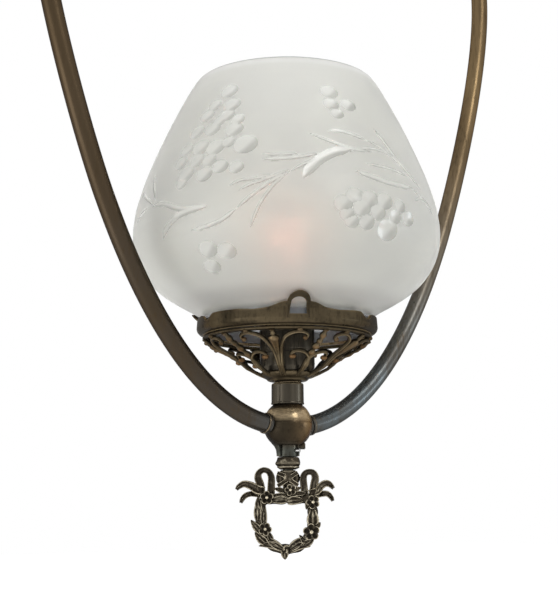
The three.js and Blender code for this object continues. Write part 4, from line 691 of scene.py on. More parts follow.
CHAIN = [(0, 13.5, 1.6), (0, 20, 1.8), (0, 24, 2.0), (0, 27.5, 2.9), (0, 29.4, 2.2), (0, 31.8, 4.7), (0, 34.4, 2.4),
         (0, 37.4, 5.2), (0, 40, 2.4), (0, 42.2, 4.0), (0, 44, 2.4), (0, 46.3, 4.6), (0, 48.2, 2.4), (0, 50.2, 3.8)]
PEARL_SEAT = [(18.2, 49.2, 1), (18.9, 49.6, 1)]
VASES, CELL = 223.2, 72          # the first vase and the width of a cell, in degrees about Z


def basket():
    """The openwork: in each of five cells a vase with a tall pair of scrolls and a chain of beads with a
    pair of spirals, on a saucer boss and inside a rim ring. A scroll's width runs out by a square root at its
    ends, its eye is a flat ball, and two pearls sit at the rim beside each vase."""
    parts = []
    step = np.arange(64)
    ends = np.clip(np.minimum(step + 2, 65 - step) / 5, 0, 1) ** 0.5
    for vase in VASES + CELL * np.arange(5):
        for points, upright, eye, warm in ((TALL_SCROLL, 0, 1.55, 0.4), (SPIRAL, CELL / 2, 2.1, 0.9)):
            for side in (1, -1):
                path, out, width = basket_line(points, vase + upright, side, len(step))
                parts.append(swept(path, SCROLL_SECTION, out, width * ends, 0.95, rub=SCROLL_RUB[None]))
                parts.append(ball(path[-2] + out[-2] * 0.3, (eye, eye, 1.5), 16).marked("warm", warm))
                if not upright:
                    seat = basket_line(PEARL_SEAT, vase, side, 4)[0][1]
                    parts.append(ball(seat, (1.8, 1.8, 1.4), 16).marked("warm", 0.15))
        for points, upright, most in ((VASE, 0, 0.3), (CHAIN, CELL / 2, 0.6)):
            path, out, width = basket_line(points, vase + upright, 1, 72)
            warm = np.interp(width, [3.0, 4.6], [0, most])[:, None] * (ROUND_RUB > -0.3)[None]
            parts.append(swept(path, ROUND_SECTION, out, width, 0.75 + 0.2 * width, rub=ROUND_RUB[None], warm=warm))
    saucer = eased([(8.7, 25.57), (10.7, 25.57), (11.7, 25.9), (12.6, 26.9), (14.6, 28.0), (16.0, 29.2), (16.2, 30.2),
                    (15.4, 30.9), (8.7, 30.9)], 0.6, 4, True)
    rub = np.interp(saucer[:, 0], [9, 11.7, 12.4, 13.6, 15.3], [0.1, 0.45, -0.5, -0.1, 0.3])
    parts.append(lathe(saucer, 120, rub=rub))
    rim = eased([(46.96, 50.17), (49.4, 50.17), (50.6, 50.7), (50.6, 51.5), (50.0, 52.07), (46.96, 52.07)],
                0.35, 3, True)
    parts.append(lathe(rim, 180, rub=np.clip((rim[:, 0] - 49.8) * 2, 0, 0.5) - 0.35))
    return parts


put("openwork_basket", basket(), CAST, "pendant", ["gallery_basket"])

LEAN = 4.62 * (92.5 - 50.8) / 154          # how far a loop leans outwards, in mm for each mm of height
EDGE_Z, KNEE_Z, SILL_Z = 62.17, 62.2, 58.25
# degrees from a loop's middle, and how high the edge stands there
WAVE = np.array([(0, 1), (8.6, 1), (13, 0.6), (18, 0.05), (27, -0.25), (39, 0.08), (50, 0.1), (60, 0.05)])


def band():
    """The gallery's upright band: its foot curves in, its top edge waves and rises to a shoulder at each of
    three loops, whose windows open down to a sill, and the loops lean outwards."""
    half = np.degrees(5.2 / 53.7)    # half the width of a window
    near = np.linspace(-60, 60, 241)
    near = np.sort(np.concatenate([near[np.abs(np.abs(near) - half) > 0.3],
                                   [half - 0.02, half + 0.02, -half - 0.02, -half + 0.02]]))[:-1]
    away = np.tile(near, 3)
    angles = (away + np.repeat(LOOPS, len(near)))[:, None]
    wave = np.interp(np.abs(away), WAVE[:, 0], WAVE[:, 1])
    wave = wave - 1.25 * np.exp(-(((away - 53 + 60) % 120 - 60) / 5) ** 4)    # the dip beside each loop
    wave = np.convolve(np.concatenate([wave[-3:], wave, wave[:3]]), np.ones(7) / 7, "valid")
    top = np.where(np.abs(away) < half, SILL_Z, EDGE_Z + 2.8 * wave)
    rows_out = eased([(47.8, 52.4), (49.7, 52.42), (50.1, 52.62), (50.3, 52.95), (51.0, 53.2), (52.4, 53.8),
                      (53.6, 55.0), (54.1, 56.6), (54.0, 58.2), (53.85, 60.2), (53.67, KNEE_Z)], 0.3, 2)
    share, turns = np.linspace(0, 1, len(rows_out)), [0, 0.4, 0.45, 1]
    rows_in = np.stack([np.interp(share, turns, [47.8, 52.3, 52.3, 52.07]),
                        np.interp(share, turns, [53.97, 53.97, 54.3, KNEE_Z])], 1)
    upper = np.array([0.12, 0.25, 0.4, 0.55, 0.7, 0.85, 0.95, 1.0])

    def wall(rows, inset):
        """The rows of one face: up to the knee as they are, and above it leaning out to the wavy edge."""
        z = np.minimum(rows[None, :, 1], top[:, None])
        above = rows[-8:][np.argsort(rows[-8:, 1])]
        r = np.where(rows[None, :, 1] > 55.5, np.interp(z, above[:, 1], above[:, 0]), rows[None, :, 0])
        extra = np.maximum(top[:, None] - KNEE_Z, 0) * upper[None]
        z2 = np.minimum(top, KNEE_Z)[:, None] + extra
        gentle = np.where(extra < 1.4, extra ** 2 / 2.8, extra - 0.7)
        r2 = r[:, -1:] + LEAN * gentle + inset * (upper[None] > 0.9) * (upper[None] - 0.9) * 2
        return polar(np.concatenate([r, r2], 1), angles, np.concatenate([z, z2], 1))

    outer, inner = wall(rows_out, -1.0), wall(rows_in, 1.0)
    z = outer[..., 2]
    shine = np.where(z < 53.0, 0.55, 0.0) + np.clip(1 - (top[:, None] - z) / 0.4, 0, 1) * 0.45
    marks = np.concatenate([shine, 0 * shine + 0.9], 1)
    parts = [shell(outer, inner, True, rub=marks)]
    a = np.linspace(0, math.pi, 41)
    share = np.linspace(0, 1, 7)[:, None]
    rows = []
    for foot, spring, half_top, rise in ((5.2, 64.27, 4.3, 2.7), (6.6, 64.27, 6.6, 5.6)):
        right = np.array([foot, 56.0]) * (1 - share) + np.array([half_top, spring]) * share
        over = np.stack([half_top * np.cos(a), spring + rise * np.sin(a)], 1)
        rows.append(np.concatenate([right[:-1], over, (right * [-1, 1])[::-1][1:]]))
    v = np.array([0, 0.06, 0.18, 0.5, 0.82, 0.94, 1.0])[None, :, None]
    face = rows[0][:, None] * (1 - v) + rows[1][:, None] * v
    dip = 0.45 * (np.array([1, 0.35, 0, 0, 0, 0.35, 1])[None])
    lean = LEAN * np.maximum(face[..., 1] - EDGE_Z, 0)
    front = np.stack([54.05 + lean - dip, face[..., 0], face[..., 1]], -1)
    back = np.stack([52.1 + lean + dip, face[..., 0], face[..., 1]], -1)
    rub = np.broadcast_to(np.array([0.5, 0.2, -0.35, -0.55, -0.45, -0.1, 0.4])[None], face.shape[:2])
    loop = shell(front, back, rub=np.concatenate([rub, rub], 1))
    return parts + [loop.turned(angle) for angle in LOOPS]


put("waved_band", band(), CAST, "pendant", ["gallery_band"])


# ---------------------------------------------------------------- shade

# the outer face, as radius and height
SHADE = np.array([
    (50.5, 54.27), (50.5, 59), (50.5, 63.2), (51.6, 64.4), (55.7, 67.0), (60.6, 69.6), (65.3, 72.1), (73.1, 76.8),
    (80, 82.3), (84, 87), (87.5, 92.3), (90, 97.5), (91.8, 104), (92.5, 111.7), (92.3, 116.2), (91.1, 125.3),
    (90, 129.9), (88.5, 134.7), (87, 139.6), (85.4, 144.4), (83.6, 149.2), (81.5, 154.2), (79.5, 159.2),
    (77.3, 164.2), (75.1, 169.2), (72.8, 174.2), (70.4, 179.3), (67.8, 184.4), (65.3, 189.5), (62.6, 194.5),
    (59.7, 199.8), (56.7, 205.0), (54.8, 207.3), (53.7, 208.1)])

# degrees from the facing side, height, size
BERRIES = [
    (-28.6, 186.0, 5.2), (-34.3, 177.8, 4.2), (-24.7, 175.9, 4.8), (-37.0, 171.2, 4.6), (-25.9, 169.0, 4.4),
    (-20.2, 165.2, 3.8), (-29.2, 165.8, 3.8), (-31.6, 161.1, 4.8), (-21.1, 158.8, 5.0), (-39.7, 161.4, 4.6),
    (-15.4, 148.2, 6.4), (-22.6, 150.7, 3.8), (-27.9, 148.5, 5.4), (-34.8, 150.3, 5.2), (-42.1, 150.5, 4.4),
    (-34.9, 142.1, 4.4), (-43.3, 142.8, 4.4), (-29.4, 140.7, 4.2), (-24.1, 135.9, 4.4), (-39.0, 134.7, 5.2),
    (-30.3, 132.4, 4.8), (-17.8, 134.3, 4.0), (-40.3, 129.1, 3.6),
    (21.2, 183.3, 5.0), (20.6, 174.9, 4.4), (29.4, 175.9, 4.6), (22.5, 168.8, 3.8),
    (19.4, 113.0, 5.0), (23.9, 118.0, 4.8), (29.7, 117.3, 5.0), (36.0, 117.1, 5.0), (20.9, 107.1, 4.2),
    (26.4, 111.2, 4.8), (32.9, 110.1, 4.6), (22.7, 103.7, 4.0), (28.5, 103.8, 4.4), (37.7, 101.3, 6.4),
    (43.1, 115.9, 4.0), (40.5, 109.0, 4.2), (47.3, 109.6, 4.4),
    (-29.8, 90.8, 5.2), (-22.5, 88.8, 5.2), (-31.0, 82.3, 4.9)]

# width, and the middle line as degrees from the facing side and height
BLADES = [
    (3.5, [(-49.6, 100.1), (-46.8, 104.9), (-41.2, 110.1), (-34.8, 112.4), (-27.7, 113.2)]),
    (2.5, [(-34.5, 101.5), (-28.2, 102.4), (-22.2, 105.1), (-16.9, 110.3)]),
    (2.2, [(-16.9, 110.3), (-12.1, 116.5), (-8.1, 121.3), (-3.4, 126.2), (1.4, 130.3)]),
    (1.4, [(-12.4, 99.3), (-10.2, 107.5), (-8.1, 113.9), (-4.3, 122.2), (1.4, 130.3)]),
    (1.0, [(-16.5, 120.4), (-12.3, 123.3), (-8.2, 125.3), (-3.7, 128.0), (1.4, 131.5)]),
    (1.0, [(-20.1, 123.3), (-15.9, 126.1), (-10.6, 126.7), (-4.8, 128.6)]),
    (2.4, [(-8.8, 138.3), (-3.6, 138.0), (1.5, 138.5), (6.5, 139.8), (11.7, 141.7)]),
    (1.0, [(-8.7, 141.1), (-2.1, 140.7), (4.4, 141.3)]),
    (1.2, [(1.4, 130.3), (6.0, 134.6), (11.6, 138.6), (17.9, 142.4), (25.2, 144.8)]),
    (5.6, [(6.0, 127.0), (8.5, 132.6), (12.4, 138.3), (18.0, 143.2), (25.5, 146.6)]),
    (1.2, [(9.0, 154.3), (14.0, 151.4), (20.0, 148.3), (26.4, 146.3), (34.4, 146.2)]),
    (2.4, [(16.8, 156.4), (21.9, 157.1), (27.2, 156.1), (33.2, 153.6)]),
    (1.2, [(25.2, 144.8), (33.0, 148.4), (39.9, 148.3), (45.9, 145.7), (50.4, 140.3)]),
    (1.2, [(33.2, 153.6), (38.6, 151.2), (44.0, 147.0), (48.5, 142.1)]),
    (2.8, [(39.8, 162.5), (43.2, 155.1), (46.2, 148.3), (49.7, 141.9), (54.5, 136.1), (59.1, 130.3)]),
    (1.4, [(30.3, 138.4), (36.6, 138.0), (43.7, 137.6), (51.5, 135.7)]),
    (3.2, [(25.1, 133.1), (30.0, 131.0), (36.8, 129.0), (43.7, 128.4), (52.1, 129.2)]),
    (1.6, [(52.1, 129.2), (56.7, 125.8), (63.0, 122.6), (66.9, 117.3)]),
    (1.6, [(52.4, 121.5), (56.6, 124.6), (61.2, 123.7), (65.6, 120.4)]),
    (2.0, [(-70.6, 115.8), (-66.0, 118.9), (-59.5, 120.9)]),
    (1.6, [(-61.3, 141.7), (-58.2, 133.1), (-53.8, 123.7)]),
    (1.6, [(-71.7, 134.5), (-60.7, 126.1), (-54.9, 121.1)]),
    (3.0, [(-56.2, 120.9), (-48.7, 119.8), (-40.8, 115.1), (-33.9, 112.8), (-27.7, 113.2)]),
]
FINEST_BLADE = 1.9
SHADE_FOOT = SHADE[0, 1]


def cuts(angle, r, run, runs):
    """How far inside the nearest blade and the nearest berry each point of the shade is, in mm, the depth
    ground away, a rounded groove under a blade and a dish under a berry, and the slant, -1 to 1: a dish's
    lean towards its lower right and the side of a blade, which the glass paints as shade on one side and as
    highlight on the other. Distances are measured on the glass: round it at the point's own radius, and
    along its profile, where the run is the way from the foot and runs is that at each row of SHADE."""
    away = (angle + 180) % 360 - 180
    away = np.where(np.abs(away) > 90, (away + 360) % 360 - 180, away)
    x = np.radians(away) * r
    blade, berry = np.full(x.shape, -9.0), np.full(x.shape, -9.0)
    depth, slant = np.zeros(x.shape), np.zeros(x.shape)
    share = np.linspace(0, 1, 28)
    swell = np.clip(1.9 * np.sin(math.pi * (0.03 + 0.94 * share)) ** 0.8, 0, 1.25)
    for width, points in BLADES:
        line = curve([(a, np.interp(z, SHADE[:, 1], runs), 0) for a, z in points], len(share))[:, :2]
        half = max(width, FINEST_BLADE) / 2 * swell * 0.9
        for k in range(len(share) - 1):
            ax, ay = np.radians(line[k, 0]) * r, line[k, 1]
            bx, by = np.radians(line[k + 1, 0]) * r, line[k + 1, 1]
            dx, dy = bx - ax, by - ay
            t = np.clip(((x - ax) * dx + (run - ay) * dy) / (dx * dx + dy * dy + 1e-9), 0, 1)
            far = np.hypot(x - ax - t * dx, run - ay - t * dy)
            w = half[k] + (half[k + 1] - half[k]) * t
            out = far / np.maximum(w, 0.1)
            # one side of a blade is painted shaded and the other lit
            side = (x - ax) * dy - (run - ay) * dx
            side = np.sign(side) * np.sign(np.where(np.abs(dx) > 0.4 * np.abs(dy), dx, -dy))
            slant = np.where((w - far > blade) & (far < w), side * np.clip(out * 1.6, 0, 1), slant)
            blade = np.maximum(blade, w - far)
            groove = np.cos(math.pi / 2 * np.clip(out, 0, 1)) ** 1.5
            depth = np.maximum(depth, 0.36 * groove * np.minimum(w, 1.5))
    for a, z, size in BERRIES:
        dx, dy = x - math.radians(a) * r, run - np.interp(z, SHADE[:, 1], runs)
        dish, far = size * 0.9, np.hypot(dx / 1.28, dy / 1.08)
        nearer = dish - far > berry
        berry = np.where(nearer, dish - far, berry)
        depth = np.maximum(depth, 0.7 * np.clip(1 - (far / dish) ** 2, 0, 1))
        # a berry's lower right is painted shaded and its upper left lit
        lean = (dx * 0.75 - dy * 0.66) / size
        slant = np.where(nearer & (far < dish), np.clip(lean * 1.5, -1, 1), slant)
    return blade, berry, depth, slant


def shade():
    """The shade: its outer face is a fine table of points, finest over the two cut fields, pressed in where
    it is ground; its inner face lies a glass wall further in, and a rounded lip and a flat foot join them."""
    z_all = np.concatenate([np.linspace(SHADE_FOOT, 66, 12), np.linspace(66.8, 78, 10), np.linspace(78, 98, 16)[1:],
                            np.linspace(98, 160, 73)[1:], np.linspace(160, 196, 30)[1:],
                            np.linspace(197.5, 207.3, 9), [207.9, 208.2]])
    r_all = np.interp(z_all, SHADE[:, 1], SHADE[:, 0])
    smooth = np.convolve(np.pad(r_all, 2, "edge"), [0.1, 0.2, 0.4, 0.2, 0.1], "valid")
    r_all = np.where(z_all < 66, r_all, smooth)
    run = np.concatenate([[0], np.cumsum(np.hypot(np.diff(r_all), np.diff(z_all)))])
    field = np.linspace(-74, 70, 272)
    gap = np.linspace(70, 106, 14)[1:-1]
    angle = np.concatenate([field, gap, field + 180, gap + 180])
    a, r = np.meshgrid(angle, r_all, indexing="ij")
    blade, berry, depth, slant = cuts(a, r, np.broadcast_to(run, a.shape), np.interp(SHADE[:, 1], z_all, run))
    tangent = unit(np.stack([np.gradient(r_all), np.gradient(z_all)], -1))
    normal = np.stack([tangent[:, 1], -tangent[:, 0]], -1)
    outer = polar(r - depth * normal[None, :, 0], a + FACING, z_all[None] - depth * normal[None, :, 1])
    thick = np.interp(z_all, [54, 200, 208.2], [2.6, 2.6, 2.2])
    thick[-2:] = (1.9, 1.2)
    inner = polar((r_all - thick * normal[:, 0])[None], a + FACING,
                  np.maximum(z_all - thick * normal[:, 1] * (z_all > 66), SHADE_FOOT)[None])
    # the lip mark: where the glass paints its grey-blue ground edge and the highlight band under it
    lip = np.broadcast_to(np.interp(z_all, [202, 205.5, 207.2, 207.9], [0, 0.3, 0.3, 1.0]), a.shape)
    keep = np.unique([*range(0, len(z_all), 8), 1, len(z_all) - 2, len(z_all) - 1])
    inner = inner[:, keep[::-1]]
    marks = {k: np.concatenate([v, np.full(inner.shape[:2], -9.0)], 1)
             for k, v in (("leaf", blade), ("berry", berry), ("slant", slant), ("lip", lip))}
    return grid(np.concatenate([outer, inner], 1), True, True, **marks)


put("cut_shade", [shade()], GLASS, "shade", ["glass_shade"], 50)


# ---------------------------------------------------------------- wreath key

RIBBON_FACE = np.array([(-0.5, -0.8), (-0.42, -1.0), (-0.28, -0.55), (0, -0.4), (0.28, -0.55), (0.42, -1.0),
                        (0.5, -0.8)])
RIBBON = np.concatenate([RIBBON_FACE, -RIBBON_FACE])
# across the ribbon: raised edges rubbed bright, partly a painted highlight, and a dark hollow middle, partly painted
# shade
RIBBON_WEAR_AND_SHADING = np.tile([0.2, 1.0, -0.7, -0.4, -0.7, 1.0, 0.2], 2)
FRONT = np.array([0.0, -1.0, 0.0])


def flat_line(points, count, depth=0.0):
    """A smooth line in the key's plane from [x, z, width] rows; the depth is how far it lies in front."""
    rows = np.asarray(points, float)
    full = np.stack([rows[:, 0], 0 * rows[:, 0] - depth, rows[:, 1], rows[:, 2]], 1)
    line = curve(full, count)
    return line[:, :3], line[:, 3]


def ribbon(points, thick=1.1, depth=0.0, wave=0.0, count=56):
    """A flat ribbon with raised edges, rubbed bright and painted as its highlight, over a dark middle that is
    painted shade; wave lifts it to and fro along its length.
    """
    path, width = flat_line(points, count, depth)
    path[:, 1] -= wave * np.sin(np.linspace(0, 2.2 * TAU, count))
    return swept(path, RIBBON, FRONT, width, thick, rub=RIBBON_WEAR_AND_SHADING[None])


def leaf(base, tip, width, front, lift, bend, count=26):
    """A pointed leaf between two points of the key's plane. Its half width swells as a sine to a power;
    its face is two hollow halves between a raised midrib and raised rims, each a bell curve across it, with
    fine slanting veins, and it arches forwards by the lift and sideways by the bend. front is 1 or -1."""
    base, tip = np.asarray(base, float), np.asarray(tip, float)
    u = np.linspace(0, 1, count)
    ahead = tip - base
    side = np.array([-ahead[1], ahead[0]]) / max(np.hypot(*ahead), 1e-6)
    line = base + u[:, None] * ahead + side * (bend * np.sin(math.pi * u))[:, None]
    depth = front * (1.3 + lift * np.sin(math.pi * (0.15 + 0.75 * u)))
    path = np.stack([line[:, 0], -depth, line[:, 1]], 1)
    half = width / 2 * (np.sin(math.pi * np.clip(0.12 + 0.88 * u ** 0.9, 0, 1)) ** 0.7 * (1.06 - 0.25 * u) + 0.02)
    v = np.linspace(-1, 1, 21)
    rise, rim, dip = (np.exp(-((np.abs(v) - place) / wide) ** 2)
                      for place, wide in ((0, 0.13), (0.86, 0.12), (0.35, 0.12)))
    crown = 0.4 * np.sqrt(np.clip(1 - v ** 2, 0, 1)) + 0.28 * rise + 0.34 * rim
    veins = 0.05 * np.cos(TAU * (4 * u[:, None] - 1.1 * np.abs(v)[None])) * (1 - rise - rim)[None]
    top = np.stack([np.broadcast_to(v, veins.shape), crown + veins], -1)
    low = np.stack([v[::-1][1:-1], -0.6 * np.sqrt(1 - v[1:-1] ** 2)], -1)
    section = np.concatenate([top, np.broadcast_to(low, (count, *low.shape))], 1)
    across = np.array([side[0], 0, side[1]])
    forward = np.array([0, -front, 0])
    height = np.clip(half / 1.1, 0.2, 1.3)[:, None, None]
    points = path[:, None] + section[..., :1] * half[:, None, None] * across + section[..., 1:2] * height * forward
    rub = np.clip(-0.4 + 0.9 * rise + 1.35 * rim - 0.35 * dip + veins * 3, -0.9, 1)
    return capped(points, path, rub=np.concatenate([rub, np.full((count, len(low)), -0.6)], 1))


PETAL = np.array([(0, -0.25), (0.45, -0.2), (0.72, 0.15), (0.86, 0.5), (0.95, 0.52), (1.0, 0.3), (0.92, -0.3),
                  (0.6, -0.7), (0, -0.8)])
PETAL_RUB = np.array([-0.75, -0.8, -0.3, 0.7, 1.0, 0.6, -0.5, -0.8, -0.8])


def flower(x, z, size, front, turn):
    """Five cupped round petals round a bead: each petal is a hollow disc tilted outwards, on a dark core,
    and its rim is bright on the side away from the bead."""
    disc = lathe(PETAL, 22, False)
    outer = np.clip(0.45 + 0.7 * disc.points[:, 0], 0, 1)
    rub = np.tile(PETAL_RUB, 22)
    disc = disc.marked("rub", np.where(rub > 0, rub * outer - 0.5 * (1 - outer), rub))
    reach, out = 0.43 * size, 0.58 * size
    px, pz, py = disc.points[:, 0] * reach, disc.points[:, 1] * reach * 1.04, disc.points[:, 2] * 0.22 * size
    depth = -front * (3.55 + (py + 0.14 * px))
    parts = []
    for k in range(5):
        a = TAU * (k / 5 + 0.05) + turn
        parts.append(disc.at(np.stack([x + (out + px) * math.cos(a) - pz * math.sin(a), depth,
                                       z + (out + px) * math.sin(a) + pz * math.cos(a)], 1)))
    parts.append(ball((x, -front * 1.9, z), (0.75 * size, 1.9, 0.75 * size), 18).marked("rub", -0.9))
    middle = (x, -front * (3.85 + 0.06 * size), z)
    parts.append(ball(middle, (0.25 * size, 0.24 * size, 0.25 * size), 14).marked("rub", 0.8))
    return parts


# places in the key's plane
GARLAND = [(-16.3, -47.0), (-16.6, -52.8), (-15.7, -58.5), (-14.2, -63.2), (-11.6, -67.8), (-7.4, -71.0),
           (-2.1, -72.2), (3.3, -71.6), (8.0, -69.2), (11.5, -65.5), (13.6, -60.9), (14.2, -55.1), (13.9, -48.8),
           (11.6, -43.6), (5.6, -43.4), (-0.3, -42.9), (-6.2, -43.6), (-12.7, -43.4)]
# from the foot to the tip in the key's plane, width, and sideways bend
LEAVES = [(-14.2, -58.0, -13.6, -46.8, 4.0, 0.5), (-17.8, -55.7, -18.3, -44.2, 4.6, 0.0),
          (-15.1, -62.6, -22.0, -55.2, 4.6, 0.5), (-12.7, -68.9, -19.7, -62.3, 5.2, 0.4),
          (-3.3, -72.1, -17.5, -70.2, 4.6, -1.6), (-4.1, -71.8, -13.9, -64.6, 4.8, 0.3),
          (-9.8, -67.2, -11.5, -62.0, 3.4, 0.2), (14.2, -59.4, 14.2, -48.5, 7.2, 0.0),
          (0.9, -71.8, 9.8, -65.2, 5.4, 0.0), (1.2, -72.7, 12.7, -70.7, 4.8, 1.6), (8.6, -70.1, 15.1, -64.9, 4.6, -0.4),
          (16.3, -59.7, 18.6, -56.8, 3.0, 0.0), (10.4, -70.1, 6.2, -64.0, 3.4, -0.3),
          (-2.4, -73.5, -2.1, -78.1, 4.4, 0.0), (-1.2, -41.0, -10.9, -41.3, 3.4, 0.3),
          (-0.9, -43.9, -10.9, -44.4, 5.0, -0.4), (3.8, -40.4, 10.9, -40.4, 3.0, 0.3),
          (-0.6, -44.7, 9.2, -44.4, 5.4, 0.5), (2.9, -38.6, 7.5, -36.6, 3.0, 0.0),
          (-2.5, -38.6, -8.5, -37.2, 3.2, 0.0), (12.2, -43.5, 10.4, -49.5, 3.6, 0.0),
          (-17.0, -50.5, -17.6, -41.5, 4.2, 0.3)]
# the middle, size and turn
FLOWERS = [(1.3, -38.2, 3.4, 0.3), (-12.6, -42.5, 3.9, 0.0), (14.4, -45.2, 4.0, 0.4), (-13.6, -60.6, 3.9, 0.8),
           (13.3, -62.4, 4.9, 0.1)]
# ribbons: places in the key's plane and width
BOWS = [[(-10.2, -41.5, 4.6), (-9.9, -35, 4.4), (-9.9, -30.5, 4.0), (-11.6, -27.3, 3.4), (-14.6, -26.5, 3.3),
         (-17.1, -28.1, 3.6), (-17.7, -31.0, 4.4), (-16.3, -35, 4.6), (-15.4, -41.5, 4.4)],
        [(9.8, -41.5, 4.4), (9.1, -35.4, 4.3), (8.9, -31, 4.1), (10.1, -28.5, 3.6), (12.5, -27.7, 3.4),
         (14.9, -28.5, 3.8), (15.9, -31.2, 4.4), (15.2, -34.9, 4.6), (14.0, -40.8, 4.2)]]
TAILS = [[(-14.6, -38.6, 4.8), (-18.4, -37.6, 5.2), (-21.6, -35.6, 4.8), (-25.7, -34.5, 3.9), (-28.8, -35.8, 3.0),
          (-30.2, -37.6, 1.8)],
         [(-14.6, -41.2, 3.2), (-18.4, -40.6, 3.2), (-21.6, -40.2, 3.1), (-24.6, -41.0, 3.2), (-26.8, -42.9, 2.9),
          (-27.8, -45.2, 1.7)],
         [(13.0, -40.2, 4.4), (17, -38.6, 4.4), (19.2, -36.0, 4.2), (21.6, -34.5, 4.0), (24.2, -34.9, 3.4),
          (26.4, -37.2, 1.9)],
         [(13.0, -42.0, 3.4), (17, -41.0, 3.6), (20, -40.4, 3.6), (22.8, -40.5, 3.3), (25.0, -42.3, 2.8),
          (26.0, -44.4, 1.7)]]
CROSSED = [[(-6.4, -28.2, 2.2), (-2, -30.0, 2.4), (2, -33.0, 2.4), (5.8, -35.6, 2.4)],
           [(5.6, -28.0, 2.2), (2, -30.2, 2.4), (-2, -33.2, 2.4), (-6.2, -35.8, 2.4)]]
KNOT = (-1.9, 0, -72.4)


def wreath():
    """The key's wreath: a broad garland with bold leaves and five flowers on its front and back, two bows
    with tails on the cross bar, two fluted puffs with crossed ribbons at the top, and a knot with whorls at
    the foot."""
    rim = curve([(x, 0, z) for x, z in GARLAND], 120, True)
    around = ring_section(16)
    lumps = 1 + 0.1 * np.sin(np.linspace(0, TAU * 13, 120))
    parts = [swept(rim, around, FRONT, 2.9 * lumps, 2.1 * lumps, True, rub=-0.55 + 0.3 * around[:, 1][None] ** 2)]
    for front in (1.0, -1.0):
        for x0, z0, x1, z1, width, bend in LEAVES:
            parts.append(leaf((x0, z0), (x1, z1), width, front, 1.2, bend))
        for x, z, size, turn in FLOWERS:
            parts.extend(flower(x, z, size, front, turn))
    parts += [ribbon(points, 1.8, 0.2, 0.4) for points in BOWS]
    parts += [ribbon(points, 1.4, depth, 0.8) for points, depth in zip(TAILS, (0.7, -0.5, 0.7, -0.5))]
    puff = ball((0, 0, 0), (1, 1, 1), 36)
    fold = np.cos(7 * np.arctan2(puff.points[:, 1], puff.points[:, 0]))
    flute = 1 + 0.06 * fold
    puff = puff.at(puff.points * np.stack([3.7 * flute, 3.1 * flute, 0 * flute + 4.3], -1))
    puff = puff.marked("rub", np.clip(fold * 0.5 - 0.45, -0.9, 0.4))
    parts += [puff.moved(x, 0, -31.2) for x in (-3.5, 3.0)]
    parts += [ribbon(points, 0.7, depth, 0.0, 30) for points in CROSSED for depth in (3.0, -3.0)]
    collar = eased([(0, -26.59), (4.3, -26.59), (4.6, -27.4), (3.9, -28.4), (4.2, -33), (0, -34)], 0.3, 3)
    parts.append(lathe(collar, 40, False, rub=(np.abs(collar[:, 1] + 27.4) < 0.5) * 0.6 - 0.3))
    parts.append(ribbon([(-0.6, -33.5, 6.5), (-0.3, -37, 5.5), (0, -41, 5.0)], 1.6, 0, 0, 20))
    knot = ball(KNOT, (3.4, 3.5, 3.0), 28)
    x, _, z = (knot.points - KNOT).T
    whorl = np.sin(np.arctan2(z, x) * 2 + np.hypot(z, x) * 2.2)
    parts.append(knot.marked("rub", np.clip(whorl * 1.1 - 0.1, -0.8, 1.0)))
    return [part.turned(-KEY_TURN) for part in parts]


put("wreath", wreath(), ANTIQUE, "tap", ["wreath_key"], 50)

plug = eased([(0, -27.19), (2.8, -27.19), (3.02, -26.9), (3.02, -18.79), (5.6, -18.79), (5.6, -10.9), (0, -10.9)],
             0.3, 3)
put("plug", [lathe(plug, 72, False, rub=-0.4)], BALLS, "tap", ["tap_plug"])


# ---------------------------------------------------------------- lampholder and bulb

cup = eased([(8.6, 30.47), (14.6, 30.47), (16.25, 33.66), (16.25, 41.87), (15.55, 41.87), (15.55, 34.0),
             (13.9, 31.9), (8.6, 31.7)], 0.5, 4, True)
put("lampholder_cup", [lathe(cup, 96)], TURNED, "pendant", ["holder_cup"])
sleeve = eased([(15.55, 42.17), (16.25, 42.17), (16.25, 43.6), (16.05, 43.9), (16.25, 44.2), (16.25, 68.6),
                (16.25, 69.2), (16.6, 69.5), (16.75, 69.95), (16.6, 70.4), (16.3, 70.75), (15.9, 70.87),
                (15.55, 70.87)], 0.25, 3)
put("lampholder_shell", [lathe(sleeve, 96)], TURNED, "pendant", ["holder_shell"])


def bulb_cap():
    """The bulb's screw cap: its wall follows a round thread, one turn in 3.63 mm, which fades at both ends,
    and its foot draws in."""
    z = np.linspace(52.2, 73.99, 110)
    a = np.arange(80)[:, None] * 4.5
    phase = (z[None] - 52.4) / 3.63 - a / 360
    fade = np.clip((z - 52.4) / 2, 0, 1) * np.clip((72.6 - z) / 1.5, 0, 1)
    r = 13.1 - (0.62 - 0.62 * np.cos(TAU * phase)) * fade * 0.6
    foot_z = np.array([49.99, 50.0, 50.7, 51.6])

    def face(foot_r, r, lift):
        """The outer or the inner face: the foot's four radii, and then the threaded wall."""
        return polar(np.concatenate([np.broadcast_to(foot_r, (80, 4)), r], 1), a,
                     np.concatenate([foot_z + lift, z])[None])

    return shell(face([4.83, 9.3, 11.6, 12.8], r, 0), face([4.83, 9.2, 11.3, 12.4], r - 0.38, [0.4, 0.4, 0.35, 0.2]),
                 True)


def globe():
    """The bulb's glass: a neck that swells into a sphere of radius 30, and an inner face 0.8 mm inside it."""
    sphere = ball_arc(30, -19.3, 29.99, 40) + [0, 116.79]
    line = np.concatenate([[(12.45, 67.0), (12.45, 71), (12.45, 74.8), (13.3, 82), (15.5, 88), (19.2, 94)], sphere[2:]])
    line = curve(np.stack([line[:, 0], 0 * line[:, 0], line[:, 1]], 1), 90)[:, [0, 2]]
    line[-1, 0] = 0
    slope = unit(np.gradient(line, axis=0))
    inside = line + 0.8 * np.stack([-slope[:, 1], slope[:, 0]], 1)
    inside[-1, 0], inside[0, 1] = 0, 67.0
    return lathe(np.concatenate([line, np.maximum(inside[::-1], 0)]), 80)


